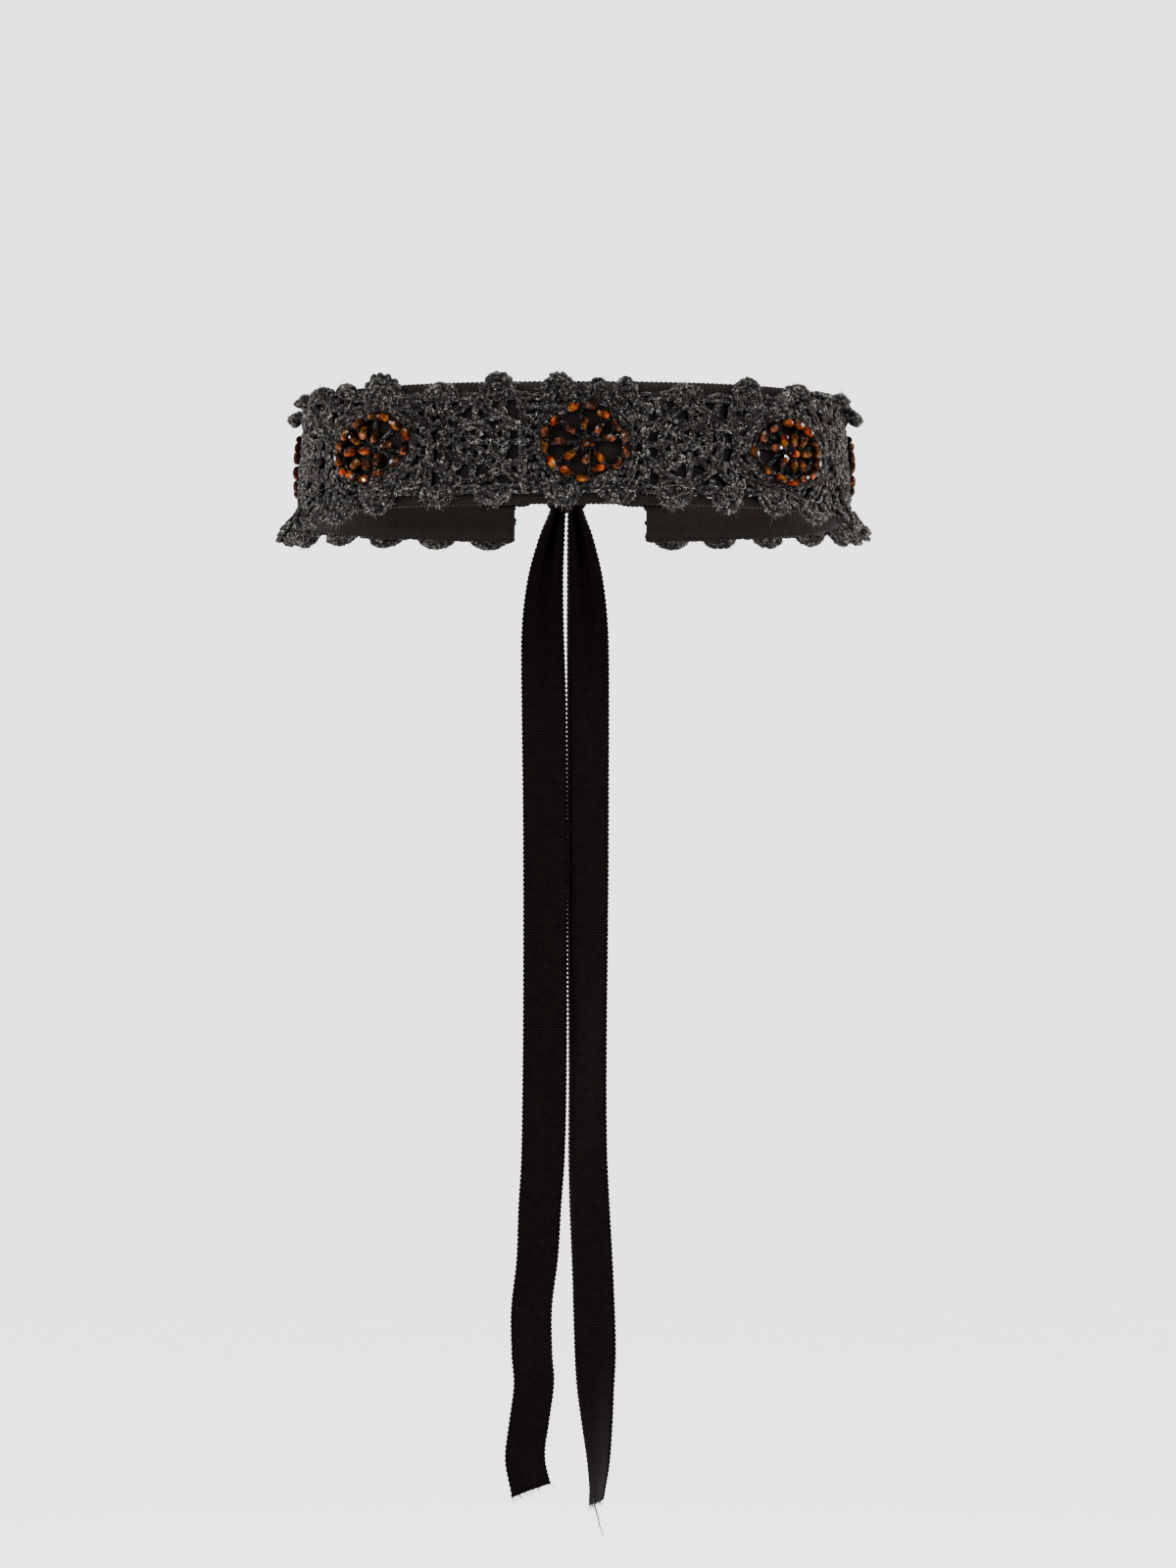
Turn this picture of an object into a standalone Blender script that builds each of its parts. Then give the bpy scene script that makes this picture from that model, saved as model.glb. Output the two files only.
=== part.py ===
"""A beaded belt: a wool crochet lace band with glass bead rosettes, sewn on a wide
grosgrain ribbon and tied behind with two narrow grosgrain ties.

The belt keeps the round, slightly tilted pose that it has when worn. The front is at
-Y, the wearer's left is at +X, and the origin is the middle of the waist, at the
band's mid height. Everything that lies on the band is laid out flat in millimetres,
along the waist and up from the mid height, and then wrapped round the waist curve.
"""

import math

import bmesh
import bpy
import numpy as np
from mathutils import Vector
from mathutils.geometry import delaunay_2d_cdt

MM = 0.001

# The waist curve, a squarish oval, measured on the lace's outer face
WAIST_HALF_WIDTH = 127.0
WAIST_FRONT_DEPTH = 92.0
WAIST_BACK_DEPTH = 89.0
WAIST_SQUARENESS = 2.4
WAIST_SAMPLES = 14400

# The worn pose: the back hangs lower, and the band widens towards the hips
TILT = math.radians(3.0)
HIP_FLARE = 2.2

# The grosgrain band behind the lace
BAND_HEIGHT = 56.0
BAND_WALL = 1.0
BAND_STATION = 6.2

# The crochet lace, one wheel motif after another, each with a seam gap to the next
MOTIFS_EACH_SIDE = 6
CENTRE_MOTIF_ALONG = 5.6
PITCH_LEFT = 51.0
PITCH_RIGHT = 48.4
MOTIF_HALF = 25.0
SEAM_GAP = 0.3
SEAM_POINTS = (-14.0, -4.6, 4.6, 14.0)
LONGEST_SPAN = 6.4
LACE_INNER = BAND_WALL + 0.3
LACE_OUTER = 3.8
LACE_EDGE = 21.8

# The crochet wheel: hub, spokes and rim
SPOKES = 8
SPOKE_WIDTH = 3.0
PLAIN_HUB = 8.6
PLAIN_EYE = 14.6
BEADED_HUB = 6.8
BEADED_EYE = 14.2

# The gaps outside a wheel, in its upper right corner and by its right seam: corners as
# places along and up from the wheel's middle, repeated in the other three quarters
PLAIN_OUTER_GAPS = (
    ((7.2, 19.4), (16.2, 11.6), (18.0, 15.0), (17.6, 19.4)),
    ((18.8, 2.2), (23.0, 2.2), (23.0, 6.8), (18.2, 6.6)),
)
BEADED_OUTER_GAPS = (
    ((14.4, 16.2), (17.6, 13.8), (19.8, 16.4), (17.0, 18.8)),
    ((19.4, 2.4), (23.4, 2.2), (23.4, 7.2), (19.0, 6.6)),
)

# A crochet shell on the lace's edge
SHELL_HALF = 9.0
SHELL_RAISE = 1.7
SHELL_LEAN = 2.6
SHELL_NECK = 0.6
SHELL_LEAN_FROM = 3.0
SHELL_LEAN_OVER = 8.0

# A shell's outline and the points of its outer face, as shares of its half width and
# its rise, with how much of the raise each point of the face gets
SHELL_SHAPE = (
    (-1.0, 0.0), (-0.92, 0.42), (-0.52, 0.86), (0.0, 1.0), (0.52, 0.86), (0.92, 0.42), (1.0, 0.0),
)
SHELL_SPOTS = (
    (-0.45, 0.45, 1.0), (0.0, 0.38, 1.0), (0.45, 0.45, 1.0), (0.0, 0.74, 1.0),
    (-0.45, 0.0, 0.0), (0.0, 0.0, 0.0), (0.45, 0.0, 0.0),
)

# Glass beads: long, wide and how far they stand proud of their thread
BEAD_LONG = 5.8
BEAD_WIDE = 3.8
BEAD_PROUD = 2.3
RING_BEADS = 14
SPOKE_BEADS = 8
THREAD_INNER = LACE_OUTER + 0.3
THREAD_OUTER = THREAD_INNER + 0.7
THREAD_MARGIN = 0.35
THREAD_NIP = 0.5

# One bead's foot and top, as shares of half its length and half its width, and the
# faces between them, where the foot's points are 0 to 5 and the top's are 6 to 9
BEAD_FOOT = ((-1.0, -0.5), (0.0, -1.0), (1.0, -0.5), (1.0, 0.5), (0.0, 1.0), (-1.0, 0.5))
BEAD_TOP = ((-0.5, -0.42), (0.5, -0.42), (0.5, 0.42), (-0.5, 0.42))
BEAD_FACES = (
    (0, 1, 6), (1, 7, 6), (1, 2, 7), (2, 3, 7), (3, 8, 7), (3, 4, 8),
    (4, 9, 8), (4, 5, 9), (5, 0, 9), (0, 6, 9), (6, 7, 8), (6, 8, 9),
)

# The gap between two of a rosette's radial beads: distance from the middle as a share
# of the ring's, and the angle to each side in radians
ROSETTE_GAP = ((0.44, 0.0), (0.72, -0.17), (0.845, -0.2), (0.86, 0.0), (0.845, 0.2), (0.72, 0.17))
RADIAL_BEAD_PLACE = 0.5

# The ties behind
TIE_WIDTH = 22.0
TIE_WALL = 1.0
TIE_OVERLAP = 18.0
KNOT_X = -4.0
KNOT_OUT = 7.4
KNOT_DROP = 1.0

# Shells on the lace's edges: motif, edge (+1 upper, -1 lower), place along from the
# wheel's middle, and height of the tip above the lace's edge
SHELL_COLUMNS = ("motif", "edge", "along", "rise")
SHELLS = (
    (-6, 1, -12.0, 9.5), (-6, 1, 13.0, 10.5), (-6, -1, -13.0, 9.0), (-6, -1, 12.0, 9.5),
    (-5, 1, -12.5, 10.0), (-5, 1, 12.0, 11.0), (-5, -1, -12.0, 9.5), (-5, -1, 13.5, 8.5),
    (-4, 1, -13.0, 10.5), (-4, 1, 12.5, 9.5), (-4, -1, -11.5, 10.0), (-4, -1, 14.0, 10.5),
    (-3, 1, -8.0, 10.5), (-3, 1, 17.0, 8.6), (-3, -1, -9.0, 11.5), (-3, -1, 15.5, 8.6),
    (-2, 1, -14.2, 6.6), (-2, 1, 5.4, 12.0), (-2, -1, -16.0, 11.0), (-2, -1, 4.4, 10.0),
    (-1, 1, -15.6, 6.6), (-1, 1, 10.8, 11.6), (-1, -1, -16.8, 7.4), (-1, -1, 8.6, 6.8),
    (0, 1, -12.4, 11.2), (0, 1, 6.0, 8.0), (0, 1, 18.6, 8.8), (0, -1, -10.2, 7.6),
    (0, -1, 14.6, 6.8),
    (1, 1, -2.8, 5.8), (1, -1, -8.4, 8.4), (1, -1, 17.0, 9.6),
    (2, 1, -17.4, 10.2), (2, 1, 4.4, 7.4), (2, -1, -8.0, 10.2), (2, -1, 15.2, 9.0),
    (3, 1, -2.0, 9.8), (3, 1, 17.4, 11.0), (3, -1, -7.0, 10.0), (3, -1, 12.0, 11.0),
    (4, 1, -11.5, 9.5), (4, 1, 13.0, 10.5), (4, -1, -13.0, 9.5), (4, -1, 11.5, 9.0),
    (5, 1, -13.0, 10.5), (5, 1, 11.5, 9.5), (5, -1, -12.5, 9.0), (5, -1, 12.5, 10.0),
    (6, 1, -12.0, 9.5), (6, 1, 12.5, 10.5), (6, -1, -11.5, 9.5), (6, -1, 13.0, 9.0),
)

# Half width and half height of each rosette's ring of beads, and how far it is turned
ROSETTE_COLUMNS = ("motif", "half_width", "half_height", "turn")
ROSETTES = (
    (-6, 17.6, 14.4, 4.0), (-4, 17.8, 14.2, 12.0), (-2, 17.9, 13.9, 6.0),
    (0, 18.3, 16.6, 9.0),
    (2, 18.1, 13.9, 2.0), (4, 17.8, 14.2, 8.0), (6, 17.6, 14.4, 14.0),
)

# The knot behind: sections from the wearer's right to the left
KNOT_COLUMNS = ("across", "half_height", "half_depth")
KNOT = (
    (-10.6, 4.0, 2.2), (-9.2, 7.4, 4.2), (-6.4, 9.4, 5.6), (-4.2, 9.0, 5.2),
    (-3.2, 11.4, 6.8), (0.0, 12.2, 7.4), (3.2, 11.4, 6.8), (4.2, 9.0, 5.2),
    (6.4, 9.4, 5.6), (9.2, 7.4, 4.2), (10.6, 4.0, 2.2),
)
KNOT_SIDES = 14
KNOT_GAP = 0.4

# A tie from the band's end to the knot: share of the way, width as a share of the
# ribbon, and how far out from the band's inner face its middle lies
LEAD_COLUMNS = ("share", "spread", "out")
LEAD_OUT = -0.8
LEAD = (
    (-0.05, 1.0, LEAD_OUT), (0.3, 0.96, 0.6), (0.6, 0.72, 3.6), (0.85, 0.44, 6.2),
    (1.0, 0.3, KNOT_OUT),
)
LEAD_STEPS = 10

# The tails below the knot: height, middle across, how far behind the waist's middle,
# width as a share of the ribbon, how far its face is turned, and how deep it is cupped
TAIL_COLUMNS = ("height", "across", "behind", "spread", "turn", "cup")
TAIL_LEFT = (
    (-18.3, -8.2, 92.8, 0.36, 10, 2.2), (-30.0, -10.8, 95.4, 0.58, 14, 2.6),
    (-50.0, -14.0, 100.0, 0.82, 16, 1.6), (-75.0, -15.5, 105.0, 0.96, 14, 0.8),
    (-110.0, -15.2, 111.5, 1.00, 10, 0.4), (-150.0, -14.8, 118.5, 1.00, 6, 0.2),
    (-190.0, -14.6, 124.5, 1.00, 4, 0.2), (-230.0, -14.6, 128.5, 1.00, 6, 0.3),
    (-290.0, -14.9, 130.5, 1.00, 10, 0.5), (-335.0, -15.8, 130.5, 1.00, 14, 0.6),
    (-360.0, -17.4, 130.8, 1.00, 16, 0.8), (-385.0, -18.6, 131.5, 1.00, 20, 1.0),
    (-410.0, -21.4, 132.0, 1.00, 22, 0.9), (-432.0, -21.2, 131.6, 1.00, 24, 0.8),
    (-447.0, -20.2, 131.0, 1.00, 26, 0.8), (-466.0, -22.6, 130.6, 1.00, 28, 1.0),
    (-484.0, -24.6, 131.2, 1.00, 30, 1.2), (-500.0, -21.5, 132.0, 1.00, 26, 1.4),
)
TAIL_RIGHT = (
    (-18.3, 0.2, 93.2, 0.36, -10, 2.2), (-30.0, 2.2, 96.0, 0.58, -14, 2.6),
    (-50.0, 4.6, 100.5, 0.82, -16, 1.6), (-75.0, 6.0, 105.5, 0.96, -16, 0.8),
    (-110.0, 6.4, 112.0, 1.00, -18, 0.4), (-150.0, 6.4, 119.0, 1.00, -20, 0.2),
    (-190.0, 6.3, 125.0, 1.00, -24, 0.2), (-230.0, 6.2, 129.0, 1.00, -28, 0.3),
    (-290.0, 6.2, 131.0, 1.00, -30, 0.5), (-334.0, 6.4, 131.5, 1.00, -29, 0.6),
    (-360.0, 7.3, 132.0, 1.00, -27, 0.6), (-393.0, 8.8, 132.4, 1.00, -26, 0.6),
    (-430.0, 9.9, 132.6, 1.00, -24, 0.8), (-449.0, 10.0, 132.4, 1.00, -34, 1.0),
    (-468.0, 10.8, 132.2, 1.00, -46, 1.2), (-486.0, 11.4, 132.6, 1.00, -58, 1.4),
    (-500.0, 10.9, 133.2, 1.00, -68, 1.4), (-506.0, 10.4, 133.4, 1.00, -70, 1.4),
)
TAIL_STATION = 12.0

# Finishes: colour, roughness and metallic value
FINISHES = {
    "black_grosgrain": ((0.012, 0.008, 0.007), 0.62, 0.0),
    "charcoal_wool": ((0.035, 0.037, 0.041), 0.95, 0.0),
    "amber_glass_beads": ((0.20, 0.050, 0.012), 0.12, 0.0),
    "black_tie_grosgrain": ((0.012, 0.009, 0.008), 0.60, 0.0),
}


def clear_scene():
    """Start from an empty scene."""
    for item in list(bpy.data.objects):
        bpy.data.objects.remove(item, do_unlink=True)


def finish(name):
    """The material of that name, made once."""
    made = bpy.data.materials.get(name)
    if made is None:
        colour, roughness, metallic = FINISHES[name]
        made = bpy.data.materials.new(name)
        made.use_nodes = True
        shader = made.node_tree.nodes["Principled BSDF"]
        shader.inputs["Base Color"].default_value = (*colour, 1.0)
        shader.inputs["Roughness"].default_value = roughness
        shader.inputs["Metallic"].default_value = metallic
        made.diffuse_color = (*colour, 1.0)
    return made


# The waist curve

def sample_waist():
    """Points of the waist curve and their distance along it from the centre front."""
    turn = np.linspace(-math.pi, math.pi, WAIST_SAMPLES + 1)
    power = 2.0 / WAIST_SQUARENESS
    depth = np.where(np.cos(turn) > 0.0, WAIST_FRONT_DEPTH, WAIST_BACK_DEPTH)
    x = WAIST_HALF_WIDTH * np.sign(np.sin(turn)) * np.abs(np.sin(turn)) ** power
    y = -depth * np.sign(np.cos(turn)) * np.abs(np.cos(turn)) ** power
    steps = np.hypot(np.diff(x), np.diff(y))
    along = np.concatenate([[0.0], np.cumsum(steps)])
    return x, y, along - along[WAIST_SAMPLES // 2]


WAIST_X, WAIST_Y, WAIST_ALONG = sample_waist()
HALF_GIRTH = float(WAIST_ALONG[-1])


def waist_point(along):
    """The curve's point and its outward direction, along millimetres from the front."""
    if along > HALF_GIRTH:
        along -= 2.0 * HALF_GIRTH
    if along < -HALF_GIRTH:
        along += 2.0 * HALF_GIRTH
    x = float(np.interp(along, WAIST_ALONG, WAIST_X))
    y = float(np.interp(along, WAIST_ALONG, WAIST_Y))
    depth = WAIST_FRONT_DEPTH if y < 0.0 else WAIST_BACK_DEPTH
    power = WAIST_SQUARENESS - 1.0
    out_x = math.copysign(abs(x / WAIST_HALF_WIDTH) ** power, x) / WAIST_HALF_WIDTH
    out_y = math.copysign(abs(y / depth) ** power, y) / depth
    return x, y, Vector((out_x, out_y)).normalized()


def on_waist(along, up, out):
    """A place on the worn band: along it, up from mid height, out from its inner face."""
    x, y, outward = waist_point(along)
    reach = out - LACE_OUTER - HIP_FLARE * up / BAND_HEIGHT
    drop = math.tan(TILT) * y
    return Vector((x + outward.x * reach, y + outward.y * reach, up - drop)) * MM


# Meshes

def add_object(name, verts, faces, material, smooth_angle=None):
    """One closed solid as a named object with its own finish, its faces turned outwards."""
    mesh = bpy.data.meshes.new(name)
    mesh.from_pydata([tuple(v) for v in verts], [], faces)
    solid = bmesh.new()
    solid.from_mesh(mesh)
    bmesh.ops.recalc_face_normals(solid, faces=solid.faces)
    solid.to_mesh(mesh)
    solid.free()
    mesh.materials.append(finish(material))
    if smooth_angle is not None:
        mesh.shade_smooth()
        mesh.set_sharp_from_angle(angle=smooth_angle)
    made = bpy.data.objects.new(name, mesh)
    bpy.context.scene.collection.objects.link(made)
    return made


def inside(point, loops):
    """Whether a flat point is inside an odd number of the loops."""
    x, y = point
    odd = False
    for loop in loops:
        for (ax, ay), (bx, by) in zip(loop, loop[1:] + loop[:1]):
            if (ay > y) != (by > y) and x < ax + (y - ay) * (bx - ax) / (by - ay):
                odd = not odd
    return odd


def fill(loops, lone_points=(), inner_loops=()):
    """Triangles between flat loops, whose first is the outline and the rest are holes.

    Returns the points and the triangles. Loose points and inner loops only take part.
    """
    points = []
    edges = []
    for loop in list(loops) + list(inner_loops):
        first = len(points)
        points.extend(loop)
        count = len(loop)
        edges.extend((first + i, first + (i + 1) % count) for i in range(count))
    points.extend(lone_points)
    found = delaunay_2d_cdt([Vector(p) for p in points], edges, [], 0, 1e-6)
    corners, faces, sources = found[0], found[2], found[3]
    kept = []
    for face in faces:
        middle = sum((corners[i] for i in face), Vector((0.0, 0.0))) / len(face)
        if inside(middle, loops):
            kept.append([sources[i][0] for i in face])
    return points, kept


def wrapped_sheet(name, loops, inner, outer, material, placed, raised=(), bumps=()):
    """A flat sheet with holes, given its thickness and wrapped round the waist.

    raised holds extra points of both faces as (x, y, extra height), which the outer face
    gets. bumps holds pairs of loops, a foot in the outer face and a smaller top with its
    height.
    """
    feet = [foot for foot, top, height in bumps]
    spots = [p[:2] for p in raised]
    flat, outer_faces = fill(loops, spots, feet)
    rim = sum(len(loop) for loop in loops)
    lifts = [0.0] * (len(flat) - len(raised)) + [p[2] for p in raised]
    verts = [placed(x, y, outer + lift) for (x, y), lift in zip(flat, lifts)]
    faces = []
    for face in outer_faces:
        middle = [sum(flat[i][axis] for i in face) / 3.0 for axis in (0, 1)]
        if not any(inside(middle, [foot]) for foot in feet):
            faces.append(face)
    start = rim
    for foot, top, height in bumps:
        corners = list(range(start, start + len(foot)))
        corners += list(range(len(verts), len(verts) + len(top)))
        verts.extend(placed(x, y, outer + height) for x, y in top)
        faces.extend([corners[i] for i in face] for face in BEAD_FACES)
        start += len(foot)
    flat_back, back_faces = fill(loops, spots)
    first = len(verts)
    verts.extend(placed(x, y, inner) for x, y in flat_back)
    faces.extend([first + i for i in reversed(face)] for face in back_faces)
    start = 0
    for loop in loops:
        count = len(loop)
        for i in range(count):
            a, b = start + i, start + (i + 1) % count
            faces.append([a, first + a, first + b])
            faces.append([a, first + b, b])
        start += count
    return add_object(name, verts, faces, material)


def divided(loop, most):
    """The loop with its long sides divided, so that none bridges the waist's curve."""
    found = []
    for (ax, ay), (bx, by) in zip(loop, loop[1:] + loop[:1]):
        parts = max(1, math.ceil(abs(bx - ax) / most))
        for part in range(parts):
            share = part / parts
            found.append((ax + (bx - ax) * share, ay + (by - ay) * share))
    return found


def counterclockwise(loop):
    """The loop turned so that its area is on its left."""
    area = sum(a[0] * b[1] - b[0] * a[1] for a, b in zip(loop, loop[1:] + loop[:1]))
    return loop if area > 0.0 else loop[::-1]


def lofted(name, sections, material, smooth_angle=None):
    """A closed solid through rings of points, all with the same count and one way round."""
    count = len(sections[0])
    verts = [p for section in sections for p in section]
    faces = []
    for s in range(len(sections) - 1):
        for i in range(count):
            a, b = s * count + i, s * count + (i + 1) % count
            c, d = a + count, b + count
            faces.append([a, b, d])
            faces.append([a, d, c])
    last = (len(sections) - 1) * count
    half = count // 2
    for i in range(half - 1):
        j, k = count - 1 - i, count - 2 - i
        faces.append([i, k, i + 1])
        faces.append([i, j, k])
        faces.append([last + i, last + i + 1, last + k])
        faces.append([last + i, last + k, last + j])
    return add_object(name, verts, faces, material, smooth_angle)


# The grosgrain band

def band_ends():
    """Where the lace and its band start and stop, along the waist."""
    count = MOTIFS_EACH_SIDE + 0.5
    return CENTRE_MOTIF_ALONG - count * PITCH_LEFT, CENTRE_MOTIF_ALONG + count * PITCH_RIGHT


def backing_ribbon():
    """The wide ribbon: an open ring with a thin wall."""
    start, stop = band_ends()
    steps = round((stop - start) / BAND_STATION)
    half = BAND_HEIGHT / 2.0
    sections = []
    for step in range(steps + 1):
        along = start + (stop - start) * step / steps
        corners = ((-half, 0.0), (half, 0.0), (half, BAND_WALL), (-half, BAND_WALL))
        sections.append([on_waist(along, up, out) for up, out in corners])
    return lofted("backing_ribbon", sections, "black_grosgrain")


# The crochet lace

def eye(turn, low, high, spread_mm):
    """One wedge-shaped eye between two spokes of a wheel, turn in radians."""
    half_gap = math.pi / SPOKES
    narrow = half_gap - math.asin(spread_mm / 2.0 / low)
    wide = half_gap - math.asin(spread_mm / 2.0 / high)
    corners = ((low, -narrow), (high, -wide), (high, 0.0), (high, wide), (low, narrow))
    return [(r * math.cos(turn + a), r * math.sin(turn + a)) for r, a in corners]


def mirrored(loop):
    """A loop in each of the four corners of a motif."""
    found = []
    for sx in (-1.0, 1.0):
        for sy in (-1.0, 1.0):
            found.append([(x * sx, y * sy) for x, y in loop])
    return found


def motif_holes(beaded):
    """The gaps of one motif that go through the lace."""
    low, high = (BEADED_HUB, BEADED_EYE) if beaded else (PLAIN_HUB, PLAIN_EYE)
    turns = [math.tau * (i + 0.5) / SPOKES for i in range(SPOKES)]
    holes = [eye(turn, low, high, SPOKE_WIDTH) for turn in turns]
    for loop in BEADED_OUTER_GAPS if beaded else PLAIN_OUTER_GAPS:
        holes += mirrored(loop)
    return [counterclockwise(hole)[::-1] for hole in holes]


def shell_rows(motif, edge):
    """The shells of a motif on one edge, as places along and rises, in order."""
    rows = [dict(zip(SHELL_COLUMNS, row)) for row in SHELLS]
    found = [(r["along"], r["rise"]) for r in rows if r["motif"] == motif and r["edge"] == edge]
    return sorted(found)


def shell_outline(along, rise, edge, reach):
    """The outline of one shell, from left to right, reach is its half width."""
    return [(along + reach * x, edge * (LACE_EDGE + rise * y)) for x, y in SHELL_SHAPE]


def motif_outline(motif):
    """The outline of a motif with its shells, and the raised points on the shells."""
    half = MOTIF_HALF - SEAM_GAP / 2.0
    raised = []
    sides = {}
    for edge in (1, -1):
        line = [(-half, edge * LACE_EDGE)]
        rows = shell_rows(motif, edge)
        for number, (along, rise) in enumerate(rows):
            reach = SHELL_HALF
            for other, _ in rows[:number] + rows[number + 1:]:
                reach = min(reach, abs(other - along) / 2.0 - SHELL_NECK)
            reach = min(reach, half - SHELL_NECK - abs(along))
            line += shell_outline(along, rise, edge, reach)
            for x, y, lift in SHELL_SPOTS:
                point = (along + reach * x, edge * (LACE_EDGE + rise * y))
                raised.append((*point, SHELL_RAISE * lift))
        line.append((half, edge * LACE_EDGE))
        sides[edge] = line
    right = [(half, up) for up in SEAM_POINTS]
    left = [(-half, up) for up in reversed(SEAM_POINTS)]
    outline = sides[-1] + right + sides[1][::-1] + left
    return outline, raised


def lace_motif(motif):
    """One crochet wheel with its border, wrapped on the band."""
    beaded = motif % 2 == 0
    outline, raised = motif_outline(motif)
    middle = CENTRE_MOTIF_ALONG + motif * (PITCH_RIGHT if motif > 0 else PITCH_LEFT)
    left_half = (PITCH_RIGHT if motif > 0 else PITCH_LEFT) / 2.0
    right_half = (PITCH_LEFT if motif < 0 else PITCH_RIGHT) / 2.0

    def placed(x, y, out):
        share = right_half if x > 0.0 else left_half
        past = max(0.0, abs(y) - LACE_EDGE - SHELL_LEAN_FROM) / SHELL_LEAN_OVER
        lean = SHELL_LEAN * past * past
        return on_waist(middle + x * share / MOTIF_HALF, y, out + lean)

    number = motif + MOTIFS_EACH_SIDE + 1
    kind = "beaded" if beaded else "plain"
    return wrapped_sheet(
        f"lace_{number:02d}_{kind}",
        [divided(counterclockwise(outline), LONGEST_SPAN)] + motif_holes(beaded),
        LACE_INNER, LACE_OUTER, "charcoal_wool", placed, raised,
    )


# The bead rosettes

def bead_bump(x, y, turn):
    """The foot and the top of one bead, its long axis turned that many radians."""
    cos, sin = math.cos(turn), math.sin(turn)

    def moved(loop):
        found = []
        for along, across in loop:
            px, py = along * BEAD_LONG / 2.0, across * BEAD_WIDE / 2.0
            found.append((x + px * cos - py * sin, y + px * sin + py * cos))
        return found

    return moved(BEAD_FOOT), moved(BEAD_TOP), BEAD_PROUD


def bead_rosette(row, number):
    """A ring of beads with radial beads inside it, threaded on one net."""
    wide, high = row["half_width"], row["half_height"]
    turn = math.radians(row["turn"])
    margin = BEAD_WIDE / 2.0 + THREAD_MARGIN
    bumps = []
    outline = []
    for i in range(2 * RING_BEADS):
        angle = turn + math.tau * i / (2 * RING_BEADS)
        reach = margin if i % 2 == 0 else margin - THREAD_NIP
        outline.append(((wide + reach) * math.cos(angle), (high + reach) * math.sin(angle)))
        if i % 2 == 0:
            x, y = wide * math.cos(angle), high * math.sin(angle)
            tangent = math.atan2(high * math.cos(angle), -wide * math.sin(angle))
            bumps.append(bead_bump(x, y, tangent))
    holes = []
    for i in range(SPOKE_BEADS):
        angle = turn + math.tau * (i + 0.5) / SPOKE_BEADS
        x = RADIAL_BEAD_PLACE * wide * math.cos(angle)
        y = RADIAL_BEAD_PLACE * high * math.sin(angle)
        bumps.append(bead_bump(x, y, math.atan2(y, x)))
        between = angle + math.pi / SPOKE_BEADS
        loop = []
        for share, spread in ROSETTE_GAP:
            a = between + spread
            loop.append((share * wide * math.cos(a), share * high * math.sin(a)))
        holes.append(counterclockwise(loop)[::-1])
    bumps.append(bead_bump(0.0, 0.0, turn))
    middle = CENTRE_MOTIF_ALONG
    middle += row["motif"] * (PITCH_RIGHT if row["motif"] > 0 else PITCH_LEFT)

    def placed(x, y, out):
        return on_waist(middle + x, y, out)

    return wrapped_sheet(
        f"bead_rosette_{number}", [outline] + holes, THREAD_INNER, THREAD_OUTER,
        "amber_glass_beads", placed, (), bumps,
    )


# The ties

def ribbon_section(middle, across, face, half_width, cup):
    """Six corners of a thin ribbon: flat on both faces, or bowed by cup at its middle."""
    wall = TIE_WALL / 2.0
    spots = ((-1.0, -1.0), (0.0, -1.0), (1.0, -1.0), (1.0, 1.0), (0.0, 1.0), (-1.0, 1.0))
    found = []
    for side, layer in spots:
        bow = cup * (1.0 - abs(side))
        found.append((middle + across * half_width * side + face * (wall * layer + bow)) * MM)
    return found


def tie_tail(name, rows):
    """One tail that falls from the knot over the hips, then straight down."""
    table = np.array(rows, dtype=float)
    heights = -table[:, 0]
    count = round((heights[-1] - heights[0]) / TAIL_STATION)
    sections = []
    for step in range(count + 1):
        drop = heights[0] + (heights[-1] - heights[0]) * step / count
        across, behind, spread, turn, cup = smooth_row(heights, table[:, 1:], drop)
        angle = math.radians(turn)
        side = Vector((math.cos(angle), math.sin(angle), 0.0))
        face = Vector((-math.sin(angle), math.cos(angle), 0.0))
        middle = Vector((across, behind, -drop))
        half_width = TIE_WIDTH * spread / 2.0
        sections.append(ribbon_section(middle, side, face, half_width, cup))
    return lofted(name, sections, "black_tie_grosgrain")


def smooth_row(places, columns, place):
    """The columns at a place between the table's rows, on a smooth curve through them."""
    last = len(places) - 1
    i = int(np.clip(np.searchsorted(places, place) - 1, 0, last - 1))
    before, after = max(i - 1, 0), min(i + 2, last)
    gap = places[i + 1] - places[i]
    share = (place - places[i]) / gap
    slope_a = (columns[i + 1] - columns[before]) / (places[i + 1] - places[before]) * gap
    slope_b = (columns[after] - columns[i]) / (places[after] - places[i]) * gap
    a, b = share * share, share * share * share
    return (
        (2 * b - 3 * a + 1) * columns[i] + (b - 2 * a + share) * slope_a
        + (3 * a - 2 * b) * columns[i + 1] + (b - a) * slope_b
    )


def knot_along():
    """The knot's place along the waist, measured towards the wearer's left side."""
    back = WAIST_Y > 0.0
    spot = int(np.argmin(np.abs(WAIST_X - KNOT_X) + np.where(back, 0.0, 1e6)))
    return float(WAIST_ALONG[spot])


def tie_knot():
    """The knot behind: two rolled shoulders with a wrap over the middle."""
    sections = []
    for row in KNOT:
        across, half_height, half_depth = row
        section = []
        for i in range(KNOT_SIDES):
            angle = math.tau * i / KNOT_SIDES
            up = -KNOT_DROP + half_height * math.sin(angle)
            out = KNOT_OUT + half_depth * math.cos(angle)
            section.append(on_waist(knot_along() - across, up, out))
        sections.append(section)
    return lofted("tie_knot", sections, "black_tie_grosgrain", math.radians(50.0))


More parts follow.
